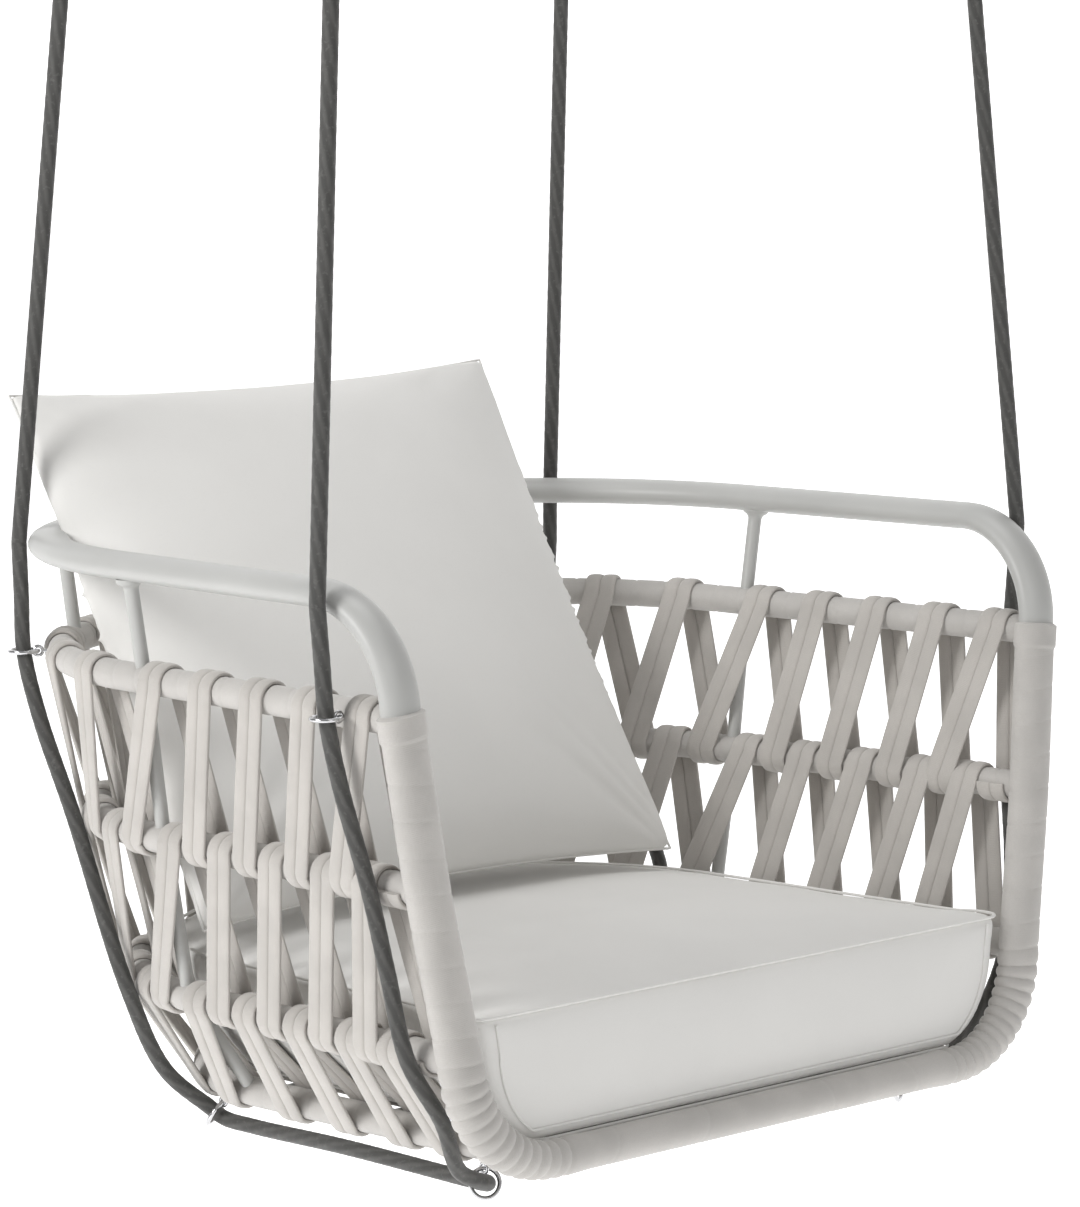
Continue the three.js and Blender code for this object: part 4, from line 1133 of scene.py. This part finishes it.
# ------------------------------------------------------------------ operators
class SWING_OT_camera(bpy.types.Operator):
    """Places the camera at the front left of the swing."""

    bl_idname = "swing.camera"
    bl_label = "Camera"

    def execute(self, context):
        data = bpy.data.cameras.new("camera")
        data.sensor_fit = "HORIZONTAL"
        data.sensor_width = 36.0
        data.lens = 164.73
        data.clip_end = 100.0
        camera = bpy.data.objects.new("camera", data)
        context.scene.collection.objects.link(camera)
        right = Vector((0.7179, -0.6961, -0.0076)).normalized()
        forward = Vector((0.6904, 0.7133, -0.1210)).normalized()
        up = right.cross(forward).normalized()
        matrix = Matrix((right, up, -forward)).transposed().to_4x4()
        matrix.translation = (-3.1035, -3.2611, -0.1355)
        camera.matrix_world = matrix
        context.scene.camera = camera
        return {"FINISHED"}


TERMINAL_PROFILE = (
    (0.0, -57.2), (7.2, -57.2), (7.2, -84.6), (7.9, -85.2), (9.2, -85.2), (9.9, -84.4), (10.0, -83.4),
    (10.0, -76.0), (9.4, -75.4), (9.4, -74.6), (10.0, -74.0), (10.0, -52.0), (9.6, -50.2), (8.2, -48.3),
    (5.4, -46.9), (0.0, -46.2),
)
SCREW_PROFILE = ((0.0, -6.35), (2.6, -6.3), (4.3, -6.0), (4.4, -5.7), (2.5, -3.6), (2.5, -0.6), (0.0, -0.6))


def add_rope(name, path, body, node):
    """A rope piece along a line."""
    mesh = make_mesh(node, [rope_skin(path, millimetres("rope"))])
    return add_piece(name, mesh, body, [node], finish("rope"))


class SWING_OT_ropes(bpy.types.Operator):
    """Hangs the four upper ropes with their terminals, and runs the lower ropes round the seat."""

    bl_idname = "swing.ropes"
    bl_label = "Ropes and terminals"

    def execute(self, context):
        thick = millimetres("rope") * MILLIMETRE
        for place, side, name in CORNERS:
            pivot, low = hanger_pivot(place, side), hinge(place, side)
            axis = unit(pivot - low)
            length = np.linalg.norm(pivot - low) - 57.5
            path = low + axis * np.linspace(0.0, length, int(length / 2.0))[:, None]
            body = f"hanger_{name}"
            rope = add_rope(f"rope_upper_{name}", path, body, f"upper_rope_{name}")
            eye = torus(pivot - axis * 39.2, (1.0, 0.0, 0.0), 8.0, 3.0)
            skins = [lathe(TERMINAL_PROFILE, pivot, axis), eye]
            terminal = add_steel(f"terminal_{name}", skins, body, f"rope_terminal_{name}")
        for side, name in SIDES:
            front, back = hinge("front", side), hinge("back", side)
            knots = np.vstack([front[None], mirrored(LOWER_ROPE, side), back[None]])
            path = evenly(through(knots, 1400), 2.0)
            rope = add_rope(f"rope_lower_{name}", path, "seat", f"lower_rope_{name}")
        return {"FINISHED"}


class SWING_OT_hangers(bpy.types.Operator):
    """Builds the ceiling plates with their bows, the screws and the oval links."""

    bl_idname = "swing.hangers"
    bl_label = "Ceiling fittings"

    def execute(self, context):
        radius = millimetres("plate") / 2
        upright = (0.0, 0.0, 1.0)
        for place, side, name in CORNERS:
            pivot, low = hanger_pivot(place, side), hinge(place, side)
            axis = unit(pivot - low)
            top = np.array((pivot[0], pivot[1], UPPER_RAIL_DEPTH))
            profile = [
                (0.0, -6.0), (radius - 2.4, -6.0), (radius - 1.2, -5.7), (radius - 0.4, -5.0),
                (radius, -3.9), (radius, -0.3), (radius - 0.3, 0.0), (0.0, 0.0),
            ]
            turn = np.linspace(math.pi, 2 * math.pi, 25)
            bow = np.stack([BOW_RADIUS * np.cos(turn), np.zeros(25), BOW_RADIUS * np.sin(turn) - 24.0], -1)
            bow = np.vstack([(-BOW_RADIUS, 0.0, -4.0), bow, (BOW_RADIUS, 0.0, -4.0)])
            bow = evenly(bow, 2.0) + top
            skins = [lathe(profile, top, upright, 56), round_bar(bow, BOW_WIRE, 16, (0, 1, 0))]
            add_steel(f"ceiling_plate_{name}_visual", skins, "ceiling", f"ceiling_plate_{name}", 35.0)
            for label, direction in (("front", -1.0), ("rear", 1.0)):
                screw = lathe(SCREW_PROFILE, top + (0.0, direction * 24.0, 0.0), upright, 20)
                node = f"plate_screw_{name}_{label}"
                add_steel(f"{node}_visual", [screw], "ceiling", node, 35.0)
            swing = unit(np.cross(axis, (1.0, 0.0, 0.0)))
            upper, lower = np.linspace(0.0, math.pi, 17), np.linspace(math.pi, 2 * math.pi, 17)
            link = np.concatenate([
                np.cos(upper)[:, None] * 8.0 * swing + (np.sin(upper)[:, None] * 8.0 - 0.1) * axis,
                np.cos(lower)[:, None] * 8.0 * swing + (np.sin(lower)[:, None] * 8.0 - 30.1) * axis]) + pivot
            travel = heading(link, closed=True)
            flat = np.broadcast_to(unit(np.cross(axis, swing)), link.shape)
            rings = sections(link, flat, unit(np.cross(travel, flat)), 3.5, 3.5, 14)
            run = run_along(link) * MILLIMETRE
            link_skin = skin(rings, closed=True, run=run)
            add_steel(f"hanger_link_{name}_visual", [link_skin], f"hanger_{name}", f"hanger_link_{name}")
        return {"FINISHED"}


def ring_places():
    """Name, centre, axis, rail side direction and node names of the eight rope rings with their hooks."""
    upper, base = RAILS["upper"], RAILS["base"]
    centres, alongs, _ = base.slots()
    places = []
    for place, side, name in CORNERS:
        if place == "front":
            centre_x = SEAT_HALF_WIDTH - SIDE_TAPER * ROPE_FROM_FRONT + RING_FROM_RAIL
            centre = np.array((side * centre_x, ROPE_FROM_FRONT, 0.0))
            outward = np.array((side, 0.0, 0.0))
            slot, offset, axis = 0, 13.0, unit(np.array((-side * 0.46, 0.86, -0.22)))
        else:
            centre = upper.corner(RING_BACK_ANGLE, RING_FROM_RAIL, side)
            outward = np.array((side * math.cos(RING_BACK_ANGLE), math.sin(RING_BACK_ANGLE), 0.0))
            slot, offset, axis = 10, 8.0, unit(np.array((side * 0.42, 0.72, 0.56)))
        level = np.array((0.0, 0.0, 1.0))
        upper_nodes = (f"upper_ring_{name}", f"upper_ring_eye_{name}")
        places.append((*upper_nodes, centre, level, -outward, RING_FROM_RAIL))
        eye = mirrored(centres[slot] + alongs[slot] * offset, side) - (0.0, 0.0, 20.1)
        up = unit(level - axis * axis[2])
        places.append((f"base_ring_{name}", f"base_ring_eye_{name}", eye - up * 13.0, axis, up, None))
    return places


class SWING_OT_rings(bpy.types.Operator):
    """Builds the rope rings and the wire eyes that hold them to the rails."""

    bl_idname = "swing.rings"
    bl_label = "Rope rings"

    def execute(self, context):
        outer, wire = millimetres("ring"), millimetres("ring_wire")
        middle = (outer - wire) / 2
        for ring_node, eye_node, centre, axis, toward, from_rail in ring_places():
            ring = torus(centre, axis, middle, wire / 2, 48, 16)
            add_steel(f"{ring_node}_visual", [ring], "seat", ring_node)
            held = centre + toward * middle
            if from_rail is None:
                rail_way, eye_axis, reach = np.array((0.0, 0.0, 1.0)), (1.0, 0.0, 0.0), 3.6
            else:
                rail_way = toward
                eye_axis = np.cross(toward, axis)
                reach = from_rail - middle - EYE_RADIUS - 11.0
            eye = torus(held, eye_axis, EYE_RADIUS, 1.5, 28, 10)
            stub_ends = np.array([held + rail_way * 4.0, held + rail_way * (EYE_RADIUS + reach)])
            stub = round_bar(stub_ends, 3.2, 12, (0.3, 0.2, 0.1))
            add_steel(f"{eye_node}_visual", [eye, stub], "seat", eye_node)
        return {"FINISHED"}


class SWING_OT_arm_loop(bpy.types.Operator):
    """Builds the bent oval arm tube that runs down both uprights and under the seat's front edge."""

    bl_idname = "swing.arm_loop"
    bl_label = "Arm tube"

    def execute(self, context):
        rings, mirror = full_loop()
        loop = np.concatenate([rings, mirror[-2:0:-1]])
        run = run_along(loop.mean(1)) * MILLIMETRE
        add_coated("arm_tube_visual", [skin(loop, closed=True, run=run)], "arm_tube", "front_base_tube")
        return {"FINISHED"}


def along_line(new_run, run, values):
    """Values of a line's points, read at other distances along it."""
    return np.stack([np.interp(new_run, run, values[:, axis]) for axis in range(values.shape[1])], -1)


class SWING_OT_front_wrap(bpy.types.Operator):
    """Winds belt round the uprights and the front base tube, with a collar at each top end."""

    bl_idname = "swing.front_wrap"
    bl_label = "Front wrap"

    def execute(self, context):
        path, wide, thin, swage, shoulder = arm_loop()
        start = shoulder - 3 + int(np.argmax(path[shoulder - 3:, 2] < 12.0))
        run = run_along(path)
        fine_run = np.arange(run[start], run[-1], 1.5)
        line, wide, thin = (along_line(fine_run, run, values) for values in (path, wide, thin))
        wide, thin = unit(wide), unit(thin)
        swage = np.interp(fine_run, run, swage)
        height, span = line[:, 2], np.abs(line[:, 0])
        in_bend = smoothstep(-255.0, -320.0, height) * smoothstep(205.0, 245.0, span)
        pitch = 31.0 + (12.0 - 31.0) * in_bend + (92.0 - 12.0) * smoothstep(245.0, 225.0, span)
        phase = np.concatenate([[0.0], np.cumsum(1.5 / pitch[1:])])
        turn = (np.arange(28) + 0.5) / 28
        lean = np.minimum(5.0 / pitch, 0.2)[:, None] * np.cos(2 * math.pi * turn)[None]
        place = (phase[:, None] + lean) % 1.0
        seam = np.exp(-((np.minimum(place, 1.0 - place) * pitch[:, None] / 1.5) ** 2))
        depth = 0.55 + 0.5 * in_bend
        from_top = fine_run - fine_run[0]
        collar = 1.5 * (1.0 - smoothstep(22.0, 25.0, from_top))
        seam = seam * smoothstep(25.0, 34.0, from_top)[:, None]
        puff = 1.1 * in_bend[:, None] * np.sin(math.pi * place) ** 2
        growth = 2.3 + collar[:, None] - depth[:, None] * seam + puff
        rim = smoothstep(0.0, 3.2, from_top)[:, None]
        growth = growth * rim - 1.5 * (1 - rim)
        half_wide, half_thin = tube_halves(swage[:, None])
        rings = sections(line, wide, thin, half_wide + growth, half_thin + growth, 28)
        mirror = rings * (-1.0, 1.0, 1.0)
        loop = np.concatenate([rings, mirror[-2::-1]])
        mesh = make_mesh("front_wrap", [skin(loop, run=np.arange(len(loop)) * 1.5 * MILLIMETRE)])
        add_piece("front_wrap_visual", mesh, "seat", ["front_wrap"], finish("wrap"))
        return {"FINISHED"}


class SWING_OT_rails(bpy.types.Operator):
    """Builds the four wound rails of the basket."""

    bl_idname = "swing.rails"
    bl_label = "Wound rails"

    def execute(self, context):
        for name, plan in RAILS.items():
            rail = wound_tube(plan, -5.0, plan.length + 5.0, millimetres("rail"))
            mesh = make_mesh(f"{name}_rail", [rail])
            add_piece(f"{name}_rail_visual", mesh, "seat", [f"{name}_rail"], finish("wrap"))
        return {"FINISHED"}


class SWING_OT_belts(bpy.types.Operator):
    """Winds the padded belts between the rails in three tiers."""

    bl_idname = "swing.belts"
    bl_label = "Woven belts"

    def execute(self, context):
        sizes = [millimetres(key) for key in ("belt_width", "belt_thickness", "belt_reach")]
        for name, bottom in (("upper", "middle"), ("middle", "lower"), ("lower", "base")):
            belt = belt_tier(name, bottom, *sizes)
            mesh = make_mesh(f"strap_tier_{name}", [belt], 60.0)
            node = f"strap_tier_{name}"
            add_piece(f"{node}_visual", mesh, "seat", [node], finish("strap"))
        return {"FINISHED"}


class SWING_OT_posts(bpy.types.Operator):
    """Builds the side posts from the arm down to the base rail, and the short corner posts."""

    bl_idname = "swing.posts"
    bl_label = "Posts"

    def execute(self, context):
        diameter = millimetres("post")
        upper, arm = RAILS["upper"], ARM
        centres = upper.slots()[0]
        for side, name in SIDES:
            points = side_post_points(side)
            bare = flared_post(points[0], points[1], diameter)
            lower = round_bar(evenly(points[1:], 6.0), diameter, 20, (0, 1, 0))
            add_coated(f"side_post_{name}_visual", [bare, lower], f"side_post_{name}")
            foot = mirrored(centres[15], side)
            angle = math.atan2(foot[1] - upper.centre_y, abs(foot[0]) + upper.centre_x)
            head = arm.corner(angle, 0.0, side) - (0.0, 0.0, 9.0)
            corner = flared_post(head, foot + (0.0, 0.0, 9.0), diameter)
            add_coated(f"corner_post_{name}_visual", [corner], f"corner_post_{name}")
        return {"FINISHED"}


class SWING_OT_seat_base(bpy.types.Operator):
    """Builds the bars under the seat and the mesh cloth over them."""

    bl_idname = "swing.seat_base"
    bl_label = "Seat bars and mesh cloth"

    def execute(self, context):
        centres = RAILS["base"].slots()[0]
        bars = []
        for slot in (4, 8):
            x, y = centres[slot][:2]
            line = np.array([(x + 10.0, y, BASE_HEIGHT), (-x - 10.0, y, BASE_HEIGHT)])
            bars.append(round_bar(evenly(line, 40.0), BAR_DIAMETER, 18))
        x, back = centres[18][:2]
        for side in (-1.0, 1.0):
            line = np.array([(side * x, -5.0, BASE_HEIGHT), (side * x, back - 10.0, BASE_HEIGHT)])
            bars.append(round_bar(evenly(line, 40.0), BAR_DIAMETER, 18))
        add_coated("seat_grid_visual", bars, "seat_grid")
        low = room_outline(-377.7, 4.0, -4.0, 6.0, 0.0)
        high = low.copy()
        high[:, 2] = -374.7
        mesh = make_mesh("seat_mat", [skin(np.array([low, high]))])
        add_piece("seat_mat_visual", mesh, "seat", ["seat_mat"], finish("mat"))
        return {"FINISHED"}


def add_ready_piece(piece, nodes):
    """An object whose mesh is final rides on the seat, takes the canvas and stands for CAD nodes."""
    piece.data.materials.clear()
    piece.data.materials.append(finish("cushion"))
    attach(piece, "seat")
    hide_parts(*nodes)


class SWING_OT_seat_cushion(bpy.types.Operator):
    """Fills the seat cushion and sews piping along its top and bottom seams."""

    bl_idname = "swing.seat_cushion"
    bl_label = "Seat cushion"

    def execute(self, context):
        loops = cushion_loops()
        source = make_mesh("seat_cushion_cut", [cushion_skin()])
        front = evenly(cushion_front_seam(), 4.0)
        seams = placed(np.vstack([evenly(loops[0], 4.0), evenly(loops[-1], 4.0), front]))
        pins = lambda points: near_line(points, seams, 0.0075)
        cushion = inflated(source, "seat_cushion_filled", 6.6, pins)
        add_ready_piece(cushion, ["seat_cushion"])
        skins = [piping(loops[-1], 2.8), piping(loops[0], 2.8), round_bar(front, 2.6, 8, (0, 1, 0))]
        cords = make_mesh("seat_cushion_piping", skins)
        add_piece("seat_cushion_piping", cords, "seat", [], finish("cushion"))
        return {"FINISHED"}


class SWING_OT_back_pillow(bpy.types.Operator):
    """Fills the knife-edged back pillow and closes its edge with a fine seam."""

    bl_idname = "swing.back_pillow"
    bl_label = "Back pillow"

    def execute(self, context):
        width, height = millimetres("pillow_width"), millimetres("pillow_height")
        shape = pillow_skin(width, height, millimetres("pillow_thickness"))
        source = make_mesh("back_pillow_cut", [shape])
        edge = pillow_edge(width, height)
        seam = placed(evenly(edge, 4.0))
        pins = lambda points: near_line(points, seam, 0.009)
        pillow = inflated(source, "back_pillow_filled", 5.6, pins)
        add_ready_piece(pillow, ["back_pillow"])
        cord = make_mesh("back_pillow_seam", [piping(edge, 2.6)])
        add_piece("back_pillow_seam", cord, "seat", [], finish("cushion"))
        return {"FINISHED"}


def sweep_mesh(depth):
    """A floor that turns up into a wall behind by a quarter circle of 1.5 m."""
    turn = np.linspace(0.0, math.pi / 2, 16)
    reach = np.concatenate([[-5.5], 3.0 + 1.5 * np.sin(turn), [4.5]])
    rise = np.concatenate([[0.0], 1.5 * (1 - np.cos(turn)), [7.0]])
    ahead, across = np.array((0.695, 0.719, 0.0)), np.array((0.719, -0.695, 0.0))
    rows = reach[:, None] * ahead + (rise + depth)[:, None] * np.array((0.0, 0.0, 1.0))
    left, right = rows - across * 7.0, rows + across * 7.0
    count = len(rows)
    i = np.arange(count - 1)
    faces = np.stack([i, i + count, i + count + 1, i + 1], -1)
    mesh = bpy.data.meshes.new("floor")
    mesh.from_pydata(np.vstack([left, right]).tolist(), [], faces.tolist())
    mesh.polygons.foreach_set("use_smooth", np.ones(len(faces), bool))
    return mesh


class SWING_OT_stage(bpy.types.Operator):
    """Sets the floor, the bright surroundings and the soft lights."""

    bl_idname = "swing.stage"
    bl_label = "Stage"

    def execute(self, context):
        scene = context.scene
        tree = ShaderTree("pale_sweep")
        tone = tuple(scene.swing_looks.floor)
        cloud = tree.noise(1.3, 3.0)
        look = tree.finish(
            Base_Color=tree.mix(cloud, shade(tone, 0.99), shade(tone, 1.0)),
            Roughness=cloud * 0.1 + 0.8,
            Emission_Color=(1.0, 1.0, 1.0, 1.0),
            Emission_Strength=0.66,
        )
        mesh = sweep_mesh(-1.62)
        mesh.materials.append(look)
        floor = bpy.data.objects.new("floor", mesh)
        scene.collection.objects.link(floor)
        world = bpy.data.worlds.new("surroundings")
        scene.world = world
        world.use_nodes = True
        world.node_tree.nodes["Background"].inputs[0].default_value = (1.0, 1.0, 1.0, 1.0)
        world.node_tree.nodes["Background"].inputs[1].default_value = 0.3
        for name, place, aim_at, wide, power in (
            ("key_light", (-2.9, 0.3, 0.5), (0.0, 0.0, -0.9), 1.2, 56.0),
            ("front_light", (-0.9, -3.2, 1.0), (0.0, 0.0, -0.9), 1.6, 13.0),
            ("top_light", (0.3, -0.2, 1.9), (0.0, 0.0, -0.9), 1.6, 24.0),
        ):
            data = bpy.data.lights.new(name, "AREA")
            data.shape = "DISK"
            data.size = wide
            data.energy = power
            lamp = bpy.data.objects.new(name, data)
            scene.collection.objects.link(lamp)
            lamp.location = place
            lamp.rotation_euler = (Vector(aim_at) - Vector(place)).to_track_quat("-Z", "Y").to_euler()
        scene.view_settings.view_transform = "Standard"
        return {"FINISHED"}


STEPS = (
    SWING_OT_camera,
    SWING_OT_ropes,
    SWING_OT_hangers,
    SWING_OT_rings,
    SWING_OT_arm_loop,
    SWING_OT_front_wrap,
    SWING_OT_rails,
    SWING_OT_belts,
    SWING_OT_posts,
    SWING_OT_seat_base,
    SWING_OT_seat_cushion,
    SWING_OT_back_pillow,
    SWING_OT_stage,
)


class SWING_PT_panel(bpy.types.Panel):
    """Buttons for the steps that build the swing, and its sizes and colours."""

    bl_idname = "SWING_PT_panel"
    bl_label = "Porch Swing"
    bl_space_type = "VIEW_3D"
    bl_region_type = "UI"
    bl_category = "Porch Swing"

    def draw(self, context):
        for step in STEPS:
            self.layout.operator(step.bl_idname)
        for group in (context.scene.swing_sizes, context.scene.swing_looks):
            for key in group.__annotations__:
                self.layout.prop(group, key)


CLASSES = (SwingSizes, SwingLooks, *STEPS, SWING_PT_panel)


def register():
    for cls in CLASSES:
        bpy.utils.register_class(cls)
    bpy.types.Scene.swing_sizes = bpy.props.PointerProperty(type=SwingSizes)
    bpy.types.Scene.swing_looks = bpy.props.PointerProperty(type=SwingLooks)


def unregister():
    del bpy.types.Scene.swing_looks
    del bpy.types.Scene.swing_sizes
    for cls in reversed(CLASSES):
        bpy.utils.unregister_class(cls)


def main():
    """Registers the add-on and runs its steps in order."""
    register()
    for step in STEPS:
        group, name = step.bl_idname.split(".")
        getattr(getattr(bpy.ops, group), name)()


if __name__ == "__main__":
    main()
